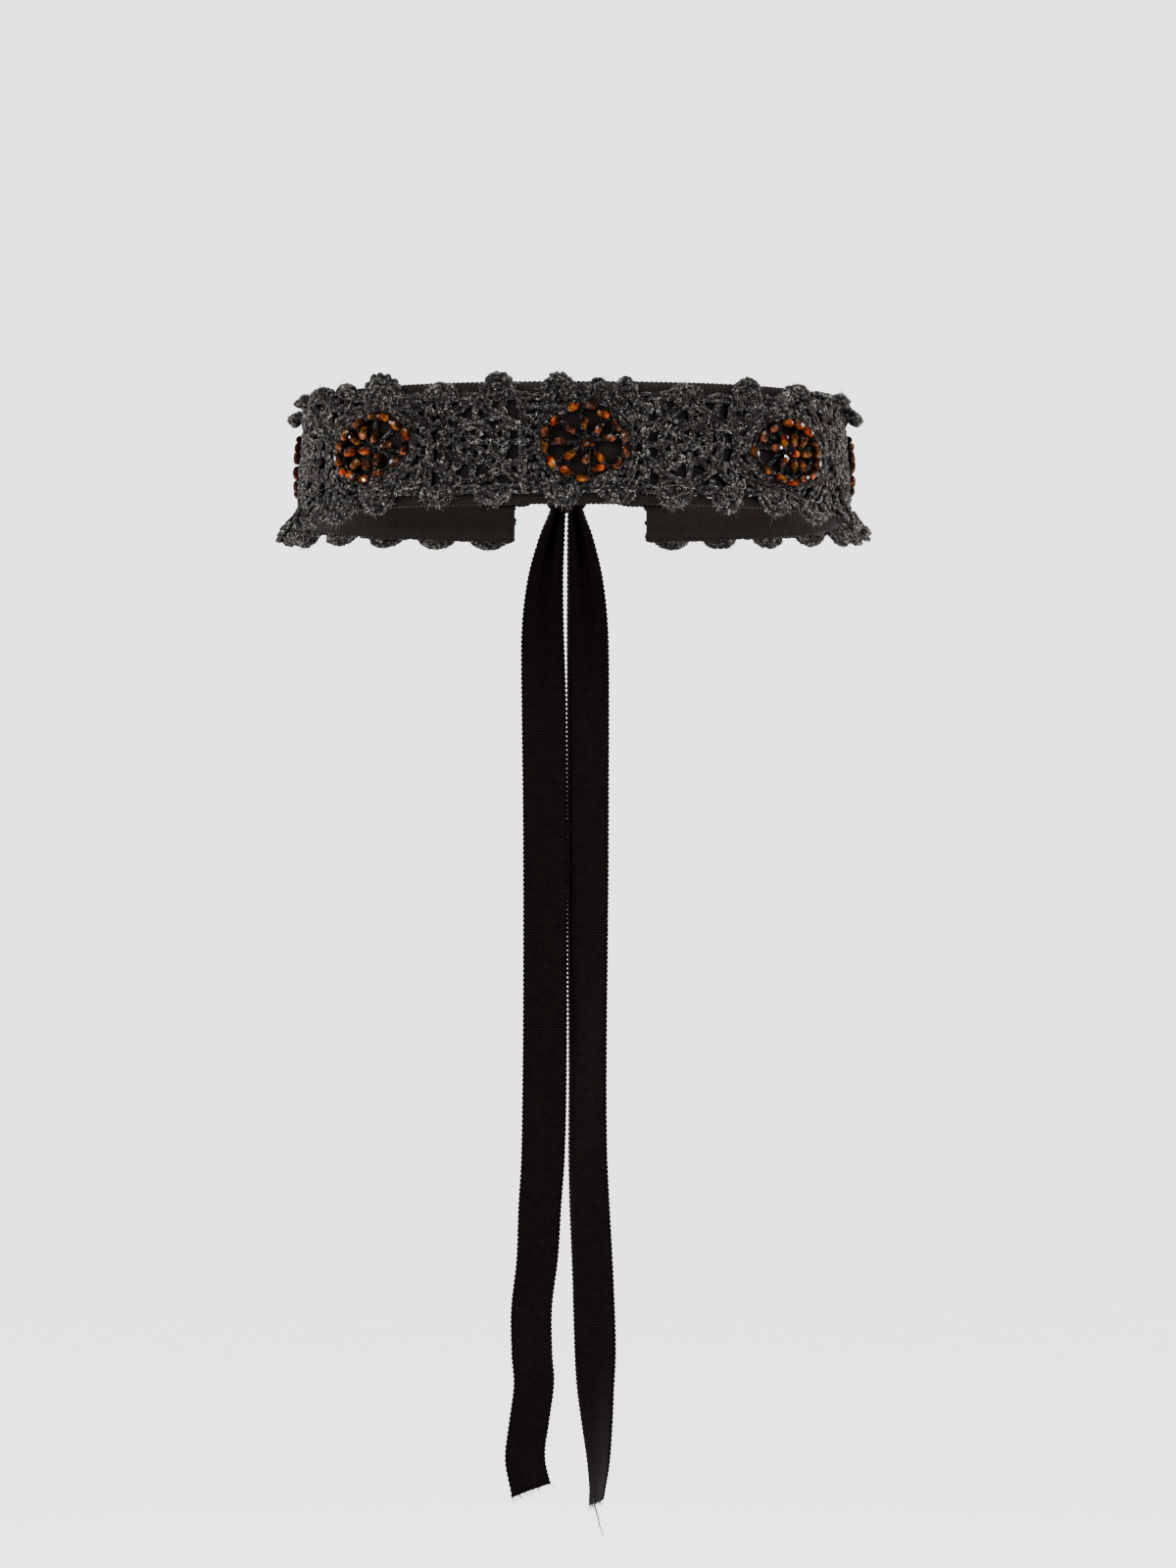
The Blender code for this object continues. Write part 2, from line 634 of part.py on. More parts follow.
def tie_lead(name, side):
    """The stretch of a tie from inside the band's end to the knot."""
    start, stop = band_ends()
    end = stop if side > 0 else start
    knot = knot_along()
    if (knot - end) * side < 0.0:
        knot += side * 2.0 * HALF_GIRTH
    reach = abs(knot - end) - KNOT[-1][0] - KNOT_GAP
    rows = [(-TIE_OVERLAP, 1.0, LEAD_OUT), (-TIE_OVERLAP / 2.0, 1.0, LEAD_OUT)]
    rows += [(share * reach, spread, out) for share, spread, out in LEAD]
    table = np.array(rows)
    wall = TIE_WALL / 2.0
    sections = []
    for step in range(LEAD_STEPS + 1):
        place = table[0, 0] + (table[-1, 0] - table[0, 0]) * step / LEAD_STEPS
        spread, out = smooth_row(table[:, 0], table[:, 1:], place)
        half = TIE_WIDTH * spread / 2.0
        low = -KNOT_DROP * max(0.0, place) / reach
        corners = ((low - half, out - wall), (low + half, out - wall),
                   (low + half, out + wall), (low - half, out + wall))
        sections.append([on_waist(end + side * place, up, layer) for up, layer in corners])
    return lofted(name, sections, "black_tie_grosgrain")


def main():
    clear_scene()
    backing_ribbon()
    for motif in range(-MOTIFS_EACH_SIDE, MOTIFS_EACH_SIDE + 1):
        lace_motif(motif)
    for number, row in enumerate(ROSETTES, start=1):
        bead_rosette(dict(zip(ROSETTE_COLUMNS, row)), number)
    tie_lead("tie_lead_left", -1)
    tie_lead("tie_lead_right", 1)
    tie_knot()
    tie_tail("tie_tail_left", TAIL_LEFT)
    tie_tail("tie_tail_right", TAIL_RIGHT)


main()
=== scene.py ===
"""A worn crochet belt: tweed wool lace with glass bead rosettes, on a wide grosgrain band
that is tied behind with two narrow grosgrain ties."""

from contextlib import contextmanager
import math
import random

import bpy
import numpy as np
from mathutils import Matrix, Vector


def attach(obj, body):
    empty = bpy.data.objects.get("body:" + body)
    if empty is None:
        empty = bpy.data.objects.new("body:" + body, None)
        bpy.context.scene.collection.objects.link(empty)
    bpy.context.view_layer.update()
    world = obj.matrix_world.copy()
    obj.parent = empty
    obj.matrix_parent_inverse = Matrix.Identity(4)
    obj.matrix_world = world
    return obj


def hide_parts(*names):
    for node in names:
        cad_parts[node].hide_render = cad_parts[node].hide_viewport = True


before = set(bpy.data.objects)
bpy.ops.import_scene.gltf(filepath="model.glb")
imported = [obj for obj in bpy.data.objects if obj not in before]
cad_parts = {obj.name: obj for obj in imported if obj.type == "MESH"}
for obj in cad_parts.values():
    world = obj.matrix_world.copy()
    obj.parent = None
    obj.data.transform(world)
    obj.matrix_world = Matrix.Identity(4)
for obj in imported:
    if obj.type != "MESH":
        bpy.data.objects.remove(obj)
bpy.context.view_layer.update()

# Sizes are in millimetres, and the camera's and the studio's in metres
MM = 0.001
BODY = "root"

# The waist curve and the worn pose
WAIST_HALF_WIDTH = 127.0
WAIST_FRONT_DEPTH = 92.0
WAIST_BACK_DEPTH = 89.0
WAIST_SQUARENESS = 2.4
WAIST_SAMPLES = 14400
TILT = math.radians(3.0)
HIP_FLARE = 2.2
SIDE_SHARPNESS = 8

# The grosgrain band, with three ribs to each scallop of its selvedge
BAND_HEIGHT = 56.0
BAND_WALL = 1.0
BAND_ROWS = 10
BAND_RIPPLE = 0.12
BAND_RIPPLE_LENGTH = 23.0
RIB_PITCH = 0.75
RIB_DEPTH = 0.13
RIBS_A_SCALLOP = 3
SCALLOP_DEPTH = 0.55
SELVEDGE_SHARPNESS = 6

# The lace, one wheel motif after another
MOTIFS_EACH_SIDE = 6
CENTRE_MOTIF_ALONG = 5.6
PITCH_LEFT = 51.0
PITCH_RIGHT = 48.4
MOTIF_HALF = 25.0
LACE_OUTER = 3.8
LACE_EDGE = 21.8
BORDER_UP = 21.2
BORDER_HALF = 24.6
COLUMN_ALONG = 21.4
BAR_END = 25.4
BAR_OVAL_UP = 19.0

# Shells: their size, how they are tucked under the border and how they lean off the body
SHELL_HALF = 9.4
SHELL_NECK = 0.4
SHELL_PAST_SEAM = 1.0
SHELL_TUCK = 1.4
SHELL_RAISE = 1.9
SHELL_LEAN = 2.6
SHELL_LEAN_FROM = 3.0
SHELL_LEAN_OVER = 8.0
SHELL_LEAN_POWER = 1.5

# At the wearer's sides the lace is thicker, puffs, rises at its borders, and curls
SIDE_THICK = 1.22
SIDE_PUFF = 0.5
SIDE_ROLL = 0.9
SIDE_DROOP = 6.4
SIDE_SHELL_LEAN = 2.9
SIDE_RISE = 5.2
SIDE_RISE_FROM = 98.0
SIDE_RISE_OVER = 14.0
RISE_FADES_INWARDS = 6.0
RISE_FADES_OUTWARDS = 11.0
CURL_RADIUS = 8.0
LEAST_CURL = 0.02
FOLD_TURN = 2.4
FOLD_HALF = SHELL_HALF + 3.0

# Shells on the lace's edges: motif, edge (1 above, -1 below), place along, height of the tip
SHELLS = (
    (-6, 1, -12.0, 9.5), (-6, 1, 13.0, 10.5), (-6, -1, -13.0, 9.0), (-6, -1, 12.0, 9.5),
    (-5, 1, -12.5, 10.0), (-5, 1, 12.0, 11.0), (-5, -1, -12.0, 9.5), (-5, -1, 13.5, 8.5),
    (-4, 1, -13.0, 10.5), (-4, 1, 14.5, 12.8), (-4, -1, -11.5, 10.0), (-4, -1, 14.0, 10.5),
    (-3, 1, -8.0, 8.6), (-3, 1, 17.0, 7.6), (-3, -1, -9.0, 11.5), (-3, -1, 15.5, 8.6),
    (-2, 1, -14.2, 6.6), (-2, 1, 5.4, 13.2), (-2, -1, -16.0, 11.0), (-2, -1, 4.4, 10.0),
    (-1, 1, -15.6, 6.6), (-1, 1, 10.8, 11.6), (-1, -1, -16.8, 7.4), (-1, -1, 8.6, 6.8),
    (0, 1, -12.4, 11.2), (0, 1, 6.0, 8.0), (0, 1, 18.6, 8.8), (0, -1, -10.2, 7.6),
    (0, -1, 14.6, 6.8),
    (1, 1, -2.8, 5.8), (1, -1, -8.4, 8.4), (1, -1, 17.0, 9.6),
    (2, 1, -21.8, 10.2), (2, 1, 4.4, 6.6), (2, -1, -8.0, 10.2), (2, -1, 15.2, 9.0),
    (3, 1, -2.0, 7.6), (3, 1, 17.4, 9.4), (3, -1, -7.0, 10.0), (3, -1, 12.0, 9.6),
    (4, 1, -11.5, 9.5), (4, 1, 13.0, 10.5), (4, -1, -13.0, 9.5), (4, -1, 11.5, 9.0),
    (5, 1, -13.0, 10.5), (5, 1, 11.5, 9.5), (5, -1, -12.5, 9.0), (5, -1, 12.5, 10.0),
    (6, 1, -12.0, 9.5), (6, 1, 12.5, 10.5), (6, -1, -11.5, 9.5), (6, -1, 13.0, 9.0),
)

# Shells that are wider than most, with their half width, and the two on the upper edge
# that fold right over at the sides: by motif, the place along, fold height and fold radius
WIDE_SHELLS = {(-2, 1, 5.4): 12.0, (2, 1, -21.8): 8.4}
FOLDED_SHELLS = {-4: (14.5, 17.0, 7.0), 3: (17.4, 15.2, 7.0)}

# Crochet stitches. One chain stitch as rows: share of a stitch forward, share of its
# half width aside, and share of the lace's thickness from its back
LACE_SEED = 4100
YARN = 2.1
YARN_SIDES = 5
YARN_LUMPS = 0.3
PLY_TWIST = 3.4
CHAIN_STITCH = 4.3
CHAIN_AHEAD = 0.9
CHAIN_SPREAD = 1.28
RING_SPREAD = 1.2
HUB_SPREAD = 0.7
CHAIN_LOW = 2.0
CHAIN_HIGH = 3.7
CHAIN_MIDDLE = (CHAIN_LOW + CHAIN_HIGH) / 2.0
CHAIN_LOOP = (
    (0.00, 0.00, 0.10), (0.22, 0.62, 0.65), (0.62, 1.00, 1.00), (1.04, 0.80, 0.85),
    (1.22, 0.00, 0.42), (1.04, -0.80, 0.85), (0.62, -1.00, 1.00), (0.22, -0.62, 0.65),
    (0.00, -0.05, 0.10), (0.50, 0.00, 0.00),
)
POST_SPREAD = 0.8
POST_RISE = 0.5
POST_TWIST = 5.6
POST_STEP = 1.15
POST_FOOT = 0.4
SPOKE_POINTS = 8

# A shell's posts and picots, each with the shares of a half turn that they spread over,
# its knobs' outline, and how far out its arcs of stitches and its felted pads lie
SHELL_POSTS = 6
POST_FAN = (0.06, 0.94)
SHELL_PICOTS = 9
PICOT_FAN = (0.05, 0.95)
SHELL_KNOB = (
    (-2.6, -0.3), (-1.3, -0.75), (-0.3, -0.7), (0.3, -0.35), (0.3, 0.35), (-0.3, 0.7),
    (-1.3, 0.75), (-2.6, 0.3),
)
SHELL_TIPS = 0.85
SHELL_RIM = 0.74
SHELL_CROWN = 0.60
CROWN_RISE = 1.3
SHELL_INNER = 0.36
SHELL_FEET = 0.66
SHELL_PADS = ((0.26, 1.75), (0.58, 1.75), (0.80, 1.0))
PAD_LIFT = 0.4

# The plain wheel's cords and posts, as places along and up from its middle. Those for both
# sides are mirrored. A cord is chain stitch and a post is two twisted strands
PLAIN_CORDS_BOTH_SIDES = (
    ((0.4, 19.4), (10.2, 13.6), (20.8, 7.4)),
    ((21.4, 19.6), (21.2, 13.0), (21.6, 7.2), (21.8, 0.4), (21.4, -8.0), (22.0, -19.0)),
    ((13.6, 10.4), (13.8, 4.4), (14.4, 0.0), (13.6, -5.4), (12.0, -10.4)),
)
PLAIN_CORDS = (
    ((12.0, -10.2), (4.4, -15.8), (-3.0, -19.8)),
    ((12.2, -10.4), (17.0, -15.0), (22.6, -19.0)),
    ((0.6, -17.8), (-5.6, -17.2), (-12.6, -14.4), (-20.8, -8.6)),
)
PLAIN_POSTS_BOTH_SIDES = (
    ((1.2, 9.0), (11.8, 11.8)), ((8.6, 5.2), (13.2, 7.6)), ((9.6, 0.2), (14.2, 0.0)),
    ((7.8, -4.4), (13.2, -7.8)), ((14.8, 0.0), (21.4, -0.6)), ((14.0, 8.2), (20.8, 6.6)),
    ((13.0, -9.8), (21.2, -9.0)), ((4.2, -7.6), (9.4, -12.0)), ((12.4, 14.6), (14.2, 20.4)),
    ((6.0, 16.8), (5.0, 20.6)),
)
PLAIN_POSTS = (
    ((0.0, 9.0), (0.3, 18.8)), ((-0.6, -8.6), (-0.8, -17.4)), ((-9.8, -9.2), (-12.4, -14.2)),
    ((10.2, -16.0), (9.6, -20.6)), ((-13.0, -15.6), (-14.4, -20.6)), ((-14.8, 12.4), (-18.2, 20.0)),
    ((-17.4, 14.6), (-21.6, 15.4)),
)

# The wheels' rings as half width and half height, with their spokes, stays and side bars.
# The beaded wheel is closer worked than the plain one, which is turned over in three motifs
WHEEL_HUB = (2.2, 2.0)
PLAIN_HUB_RIM = (2.8, 2.6)
PLAIN_RING = (8.9, 8.2)
PLAIN_RING_WITHIN = 1.0
PLAIN_SPOKES = 6
TURNED_WHEELS = (-5, -3, 3)
BEADED_RIM_OFF = 1.1
BEADED_OUTER = (21.6, 18.6)
BEADED_CORNER = ((12.5, 20.2), (20.0, 16.6), (24.0, 9.6))
BEADED_SPOKES = 8
BEADED_STAYS = 15
PLAIN_BARS = (-17.2, -12.4, -6.4, 0.6, 6.8, 12.0, 17.4)
BEADED_BARS = (-17.2, -10.6, -3.4, 3.2, 10.4, 17.0)

# Loose wool: hairs that stand off each motif, and pale fibres that lie on its yarn. Their
# thickness, shape along their length as shares of it, length and curl
HALO_HAIRS = 680
HAIR_SIDES = 3
HAIR_WIDTH = 0.10
HAIR_TAPER = (1.0, 0.95, 0.8, 0.4)
HAIR_LENGTH = (1.0, 3.0)
LONG_HAIR = 3.0
HAIR_CURL = 0.55
HAIR_ROOT = 0.42
LYING_FIBRES = 420
FIBRE_WIDTH = 0.19
FIBRE_TAPER = (0.5, 0.9, 1.0, 0.9, 0.4)
FIBRE_LENGTH = (1.4, 3.6)
FIBRE_CURL = 0.75
FIBRE_OFF = 1.02
FIBRE_OVER_BAND = 0.25

# Curls of wool worked loose from the lace: motif, along, up, size, turn in degrees
CURL_SEED = 57
CURL_WIDTH = 0.17
CURL_SIDES = 4
CURL_POINTS = 14
CURL_TURNS = 1.35
LOOSE_CURLS = (
    (-3, 3.0, 21.0, 2.6, 150.0), (-2, -9.0, 20.6, 1.8, 40.0), (-1, 10.0, -13.0, 2.4, 200.0),
    (-1, -14.0, 5.0, 1.6, 90.0), (0, 21.0, 11.0, 2.0, 300.0), (1, 2.4, 14.6, 2.5, 20.0),
    (1, 17.0, -9.0, 1.7, 130.0), (2, -16.0, 19.0, 2.1, 70.0), (3, 9.0, -17.0, 2.2, 250.0),
    (-4, -6.0, 17.0, 2.0, 10.0), (4, 11.0, 15.0, 2.2, 190.0), (5, -9.0, -12.0, 1.9, 330.0),
    (-5, 12.0, -16.0, 2.1, 220.0), (6, 2.0, 19.0, 1.8, 60.0),
)

# Glass beads
BEAD_SEED = 7300
BEAD_LONG = 6.1
BEAD_WIDE = 4.1
BEAD_SIDES = 7
BEAD_OUT = 5.2
SIDE_BEADS_LIFT = 2.2
BEAD_PROFILE = ((-0.5, 0.52), (-0.37, 0.84), (-0.13, 1.0), (0.13, 1.0), (0.37, 0.84), (0.5, 0.52))
BEAD_HOLE = 0.17
RING_BEADS = 14
SPOKE_BEADS = 8
RADIAL_BEAD_PLACE = 0.5
THREAD = 0.42
THREAD_SIDES = 5
THREAD_SAG = 0.6

# The painted glow of a bead, painted light as if come through the glass: at least, where it
# faces out, on the side it gathers on, and unevenly; then the shares of its facets with a painted
# white glint and with a faint painted glint that makes them a little brighter
PAINTED_GLOW_LEAST = 0.05
PAINTED_GLOW_FACING = 0.36
PAINTED_GLOW_LIT = 0.55
PAINTED_GLOW_UNEVEN = 0.17
PAINTED_GLINT_FACETS = 0.0017
PAINTED_SPARKLE_FACETS = 0.016
PAINTED_SPARKLE_MIX = 0.025

# The rosettes: motif, half width and half height of the ring of beads, turn in degrees
ROSETTES = (
    (-6, 17.6, 14.4, 4.0), (-4, 17.8, 14.2, 12.0), (-2, 17.9, 13.9, 6.0),
    (0, 18.3, 16.6, 9.0),
    (2, 18.1, 13.9, 2.0), (4, 17.8, 14.2, 8.0), (6, 17.6, 14.4, 14.0),
)

# The three rosettes seen in front are placed bead by bead. For each motif: its ring's
# beads along and up, then its inner beads with the way that each points in degrees
PLACED_BEADS = {
    -2: (
        ((1.8, 14.1), (7.3, 13.3), (13.5, 9.4), (18.4, 4.7), (17.8, -1.6), (13.1, -7.2),
         (4.8, -11.9), (-2.9, -14.1), (-10.3, -12.5), (-16.0, -9.6), (-18.5, -4.4),
         (-18.0, 1.6), (-13.9, 6.9), (-6.8, 11.4)),
        ((-3.3, 6.9, 84.0), (-8.8, 4.4, -42.0), (3.0, 5.0, 78.0), (8.8, 0.2, 4.0),
         (-11.0, -1.6, 8.0), (-2.1, -1.6, -6.0), (4.3, -5.6, 74.0), (-1.9, -7.4, 84.0),
         (-7.8, -6.9, 44.0)),
    ),
    0: (
        ((-5.2, 16.0), (2.5, 16.7), (7.6, 13.1), (13.6, 7.8), (17.5, 3.0), (18.5, -4.2),
         (14.1, -9.6), (5.2, -12.0), (-1.1, -16.3), (-8.8, -13.2), (-15.6, -9.1),
         (-18.9, -1.8), (-18.5, 5.2), (-13.9, 9.7)),
        ((-7.6, 6.1, -32.0), (-11.5, 0.1, -14.0), (-7.4, -5.7, 36.0), (-0.8, 8.3, 70.0),
         (5.7, 6.6, 74.0), (10.3, 2.0, 0.0), (0.4, -0.4, -8.0), (0.4, -6.9, 62.0),
         (5.7, -6.4, -46.0)),
    ),
    2: (
        ((-13.0, 4.8), (-7.4, 8.9), (-0.5, 11.5), (6.4, 11.3), (11.6, 8.9), (15.8, 4.6),
         (17.8, -0.6), (17.6, -6.4), (14.4, -11.0), (9.0, -13.2), (2.2, -15.6), (-5.2, -14.4),
         (-12.5, -10.4), (-18.2, -3.0)),
        ((-2.4, 3.2, 84.0), (3.2, 3.8, 94.0), (8.8, 3.8, 52.0), (-6.9, -0.1, 6.0),
         (10.1, -1.9, 0.0), (2.6, -2.5, 4.0), (-3.2, -5.9, 44.0), (2.6, -8.8, 86.0),
         (7.9, -7.7, -48.0)),
    ),
}

# The ties, whose tails are cut aslant
TIE_WIDTH = 22.0
TIE_WALL = 0.9
TIE_OVERLAP = 18.0
TIE_SCALLOP_DEPTH = 0.5
TIE_CUT = -3.0
TIE_CUT_SHARPNESS = 30
TAIL_RIPPLE = 0.5
TAIL_RIPPLE_LENGTH = 31.0
TAIL_ROWS = 10
LEAD_ROWS = 14
PLEATS = 2
PLEAT_STEEPNESS = 0.707
LEAD_PLEATING = 0.7

# The knot: its place, then its shoulders' and wrap's half height and half depth
KNOT_X = -4.0
KNOT_OUT = 7.4
KNOT_DROP = 1.0
KNOT_REACH = 9.0
KNOT_WALL = 0.8
SHOULDER_FROM = 3.0
SHOULDER_LENGTH = 8.4
SHOULDER_SIZE = (9.6, 5.6)
SHOULDER_RIBS = 11
SHOULDER_ROWS = 40
WRAP_HALF = 4.3
WRAP_SIZE = (12.0, 7.3)
WRAP_RIBS = 80
WRAP_ROWS = 16

# A tie's lead to the knot: share of the way, width as a share, out from the band
LEAD_OUT = -0.8
LEAD = (
    (-0.05, 1.0, LEAD_OUT), (0.3, 0.96, 0.6), (0.6, 0.72, 3.6), (0.85, 0.44, 6.2),
    (1.0, 0.3, KNOT_OUT),
)

# The tails: height, middle across, how far behind, width as a share, turn in degrees, cup
TAIL_LEFT = (
    (-11.0, -6.6, 92.2, 0.27, 8, 1.8), (-18.3, -8.2, 92.8, 0.36, 10, 2.2),
    (-30.0, -10.8, 95.4, 0.58, 14, 2.6),
    (-50.0, -14.0, 100.0, 0.82, 16, 1.6), (-75.0, -15.5, 105.0, 0.96, 14, 0.8),
    (-110.0, -15.2, 111.5, 1.00, 10, 0.4), (-150.0, -14.8, 118.5, 1.00, 6, 0.2),
    (-190.0, -14.6, 124.5, 1.00, 4, 0.2), (-230.0, -14.6, 128.5, 1.00, 6, 0.3),
    (-290.0, -14.9, 130.5, 1.00, 10, 0.5), (-335.0, -15.8, 130.5, 1.00, 14, 0.6),
    (-360.0, -17.4, 130.8, 1.00, 16, 0.8), (-385.0, -18.6, 131.5, 1.00, 20, 1.0),
    (-410.0, -21.4, 132.0, 1.00, 22, 0.9), (-432.0, -21.2, 131.6, 1.00, 24, 0.8),
    (-447.0, -20.2, 131.0, 1.00, 26, 0.8), (-466.0, -22.6, 130.6, 1.00, 28, 1.0),
    (-484.0, -24.6, 131.2, 1.00, 30, 1.2), (-500.0, -21.5, 132.0, 1.00, 26, 1.4),
)
TAIL_RIGHT = (
    (-11.0, -1.4, 92.6, 0.27, -8, 1.8), (-18.3, 0.2, 93.2, 0.36, -10, 2.2),
    (-30.0, 2.2, 96.0, 0.58, -14, 2.6),
    (-50.0, 4.6, 100.5, 0.82, -16, 1.6), (-75.0, 6.0, 105.5, 0.96, -16, 0.8),
    (-110.0, 6.4, 112.0, 1.00, -18, 0.4), (-150.0, 6.4, 119.0, 1.00, -20, 0.2),
    (-190.0, 6.3, 125.0, 1.00, -24, 0.2), (-230.0, 6.2, 129.0, 1.00, -28, 0.3),
    (-290.0, 6.2, 131.0, 1.00, -30, 0.5), (-334.0, 6.4, 131.5, 1.00, -29, 0.6),
    (-360.0, 7.3, 132.0, 1.00, -27, 0.6), (-393.0, 8.8, 132.4, 1.00, -26, 0.6),
    (-430.0, 9.9, 132.6, 1.00, -24, 0.8), (-449.0, 10.0, 132.4, 1.00, -34, 1.0),
    (-468.0, 10.8, 132.2, 1.00, -46, 1.2), (-486.0, 11.4, 132.6, 1.00, -58, 1.4),
    (-500.0, 10.9, 133.2, 1.00, -68, 1.4), (-506.0, 10.4, 133.4, 1.00, -70, 1.4),
)

# Hand stitches that hold the lace and the ties on the band
STITCH_SEED = 88
STITCH_WIDTH = 0.36
STITCH_SIDES = 4
STITCH_ROWS = (-20.0, 20.0)
STITCH_PITCH = 8.0
STITCH_HALF = 1.4
STITCH_LIFT = (0.3, -0.2, -0.2, 0.3)
TIE_STITCH_ROWS = (2.0, TIE_OVERLAP - 2.5)
TIE_STITCH_PLACES = (-9.6, -7.2, -4.8, -2.4, 0.0, 2.4, 4.8, 7.2, 9.6)
TIE_STITCH_HALF = 0.9
TIE_STITCH_LIFT = (0.2, -1.5, -1.5, 0.2)

# Threads that fray from each tail's cut end, and the long one on the right with its girths
FRAY_SEED = 31
FRAY_WIDTH = 0.34
FRAY_TAPER = (1.0, 0.9, 0.8, 0.5)
FRAYS = 22
LONG_THREAD = (
    (9.4, 132.6, -504.0), (9.9, 133.4, -508.0), (11.3, 133.9, -513.0), (12.4, 133.6, -518.0),
    (14.2, 133.2, -523.0),
)
LONG_THREAD_GIRTHS = (2.8, 2.7, 2.3, 1.9, 1.0)

# The camera: level, in front and a little below the belt, as in the photograph
CAMERA_PLACE = (0.00645, -2.592, -0.1504)
CAMERA_LENS = 126.4
CAMERA_SENSOR = 36.0

# The studio: the floor, how bright the surroundings are, and each lamp's name, place, size
# and power
FLOOR_HEIGHT = -1.04
FLOOR_RADIUS = 60.0
SURROUNDINGS = 3.0
LAMPS = (
    ("light_left", (-1.5, -2.2, 0.9), 0.45, 100.0),
    ("light_right", (1.7, -2.0, 0.7), 0.45, 55.0),
    ("light_top", (0.2, -0.3, 1.9), 0.6, 70.0),
    ("light_side_left", (-2.3, 0.9, 0.4), 0.8, 240.0),
    ("light_side_right", (2.3, 0.9, 0.4), 0.8, 240.0),
)


# The waist curve

def sample_waist():
    """Points of the waist curve and their distance along it from the centre front.

    The curve is a squarish oval, deeper in front than behind.
    """
    turn = np.linspace(-math.pi, math.pi, WAIST_SAMPLES + 1)
    power = 2.0 / WAIST_SQUARENESS
    depth = np.where(np.cos(turn) > 0.0, WAIST_FRONT_DEPTH, WAIST_BACK_DEPTH)
    x = WAIST_HALF_WIDTH * np.sign(np.sin(turn)) * np.abs(np.sin(turn)) ** power
    y = -depth * np.sign(np.cos(turn)) * np.abs(np.cos(turn)) ** power
    along = np.concatenate([[0.0], np.cumsum(np.hypot(np.diff(x), np.diff(y)))])
    return x, y, along - along[WAIST_SAMPLES // 2]


WAIST_X, WAIST_Y, WAIST_ALONG = sample_waist()
HALF_GIRTH = float(WAIST_ALONG[-1])


def on_waist(along, up, out):
    """Places in metres on the worn band: along it, up from mid height, out from its inner face."""
    along = (np.asarray(along, dtype=float) + HALF_GIRTH) % (2.0 * HALF_GIRTH) - HALF_GIRTH
    x = np.interp(along, WAIST_ALONG, WAIST_X)
    y = np.interp(along, WAIST_ALONG, WAIST_Y)
    depth = np.where(y < 0.0, WAIST_FRONT_DEPTH, WAIST_BACK_DEPTH)
    power = WAIST_SQUARENESS - 1.0
    out_x = np.sign(x) * np.abs(x / WAIST_HALF_WIDTH) ** power / WAIST_HALF_WIDTH
    out_y = np.sign(y) * np.abs(y / depth) ** power / depth
    size = np.hypot(out_x, out_y)
    reach = out - LACE_OUTER - HIP_FLARE * up / BAND_HEIGHT
    drop = math.tan(TILT) * y
    return np.stack([x + out_x / size * reach, y + out_y / size * reach, up - drop], -1) * MM


def sideways(along):
    """How near a place on the waist is to the wearer's side: 1 there, 0 in front and behind."""
    along = (np.asarray(along, dtype=float) + HALF_GIRTH) % (2.0 * HALF_GIRTH) - HALF_GIRTH
    return np.abs(np.interp(along, WAIST_ALONG, WAIST_X) / WAIST_HALF_WIDTH) ** SIDE_SHARPNESS


def band_ends():
    """Where the lace and its band start and stop, along the waist."""
    count = MOTIFS_EACH_SIDE + 0.5
    return CENTRE_MOTIF_ALONG - count * PITCH_LEFT, CENTRE_MOTIF_ALONG + count * PITCH_RIGHT


def motif_middle(motif):
    """Where a motif's middle lies along the waist."""
    return CENTRE_MOTIF_ALONG + motif * (PITCH_RIGHT if motif > 0 else PITCH_LEFT)


# Modelling helpers

def take(piece):
    """Select one object alone, as by a click."""
    bpy.ops.object.select_all(action="DESELECT")
    piece.select_set(True)
    bpy.context.view_layer.objects.active = piece


@contextmanager
def all_selected_in(piece):
    """Edit mode on one piece, with all of it selected."""
    take(piece)
    bpy.ops.object.mode_set(mode="EDIT")
    bpy.ops.mesh.select_all(action="SELECT")
    yield
    bpy.ops.object.mode_set(mode="OBJECT")


def set_down(name, made):
    """A new object in the scene, of what was made."""
    thing = bpy.data.objects.new(name, made)
    bpy.context.scene.collection.objects.link(thing)
    return thing


def settle(piece, material, smooth=True):
    """Give a finished piece its material and its place among the belt's pieces."""
    piece.data.materials.clear()
    piece.data.materials.append(material)
    take(piece)
    if smooth:
        bpy.ops.object.shade_smooth()
    else:
        bpy.ops.object.shade_flat()
    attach(piece, BODY)
    return piece


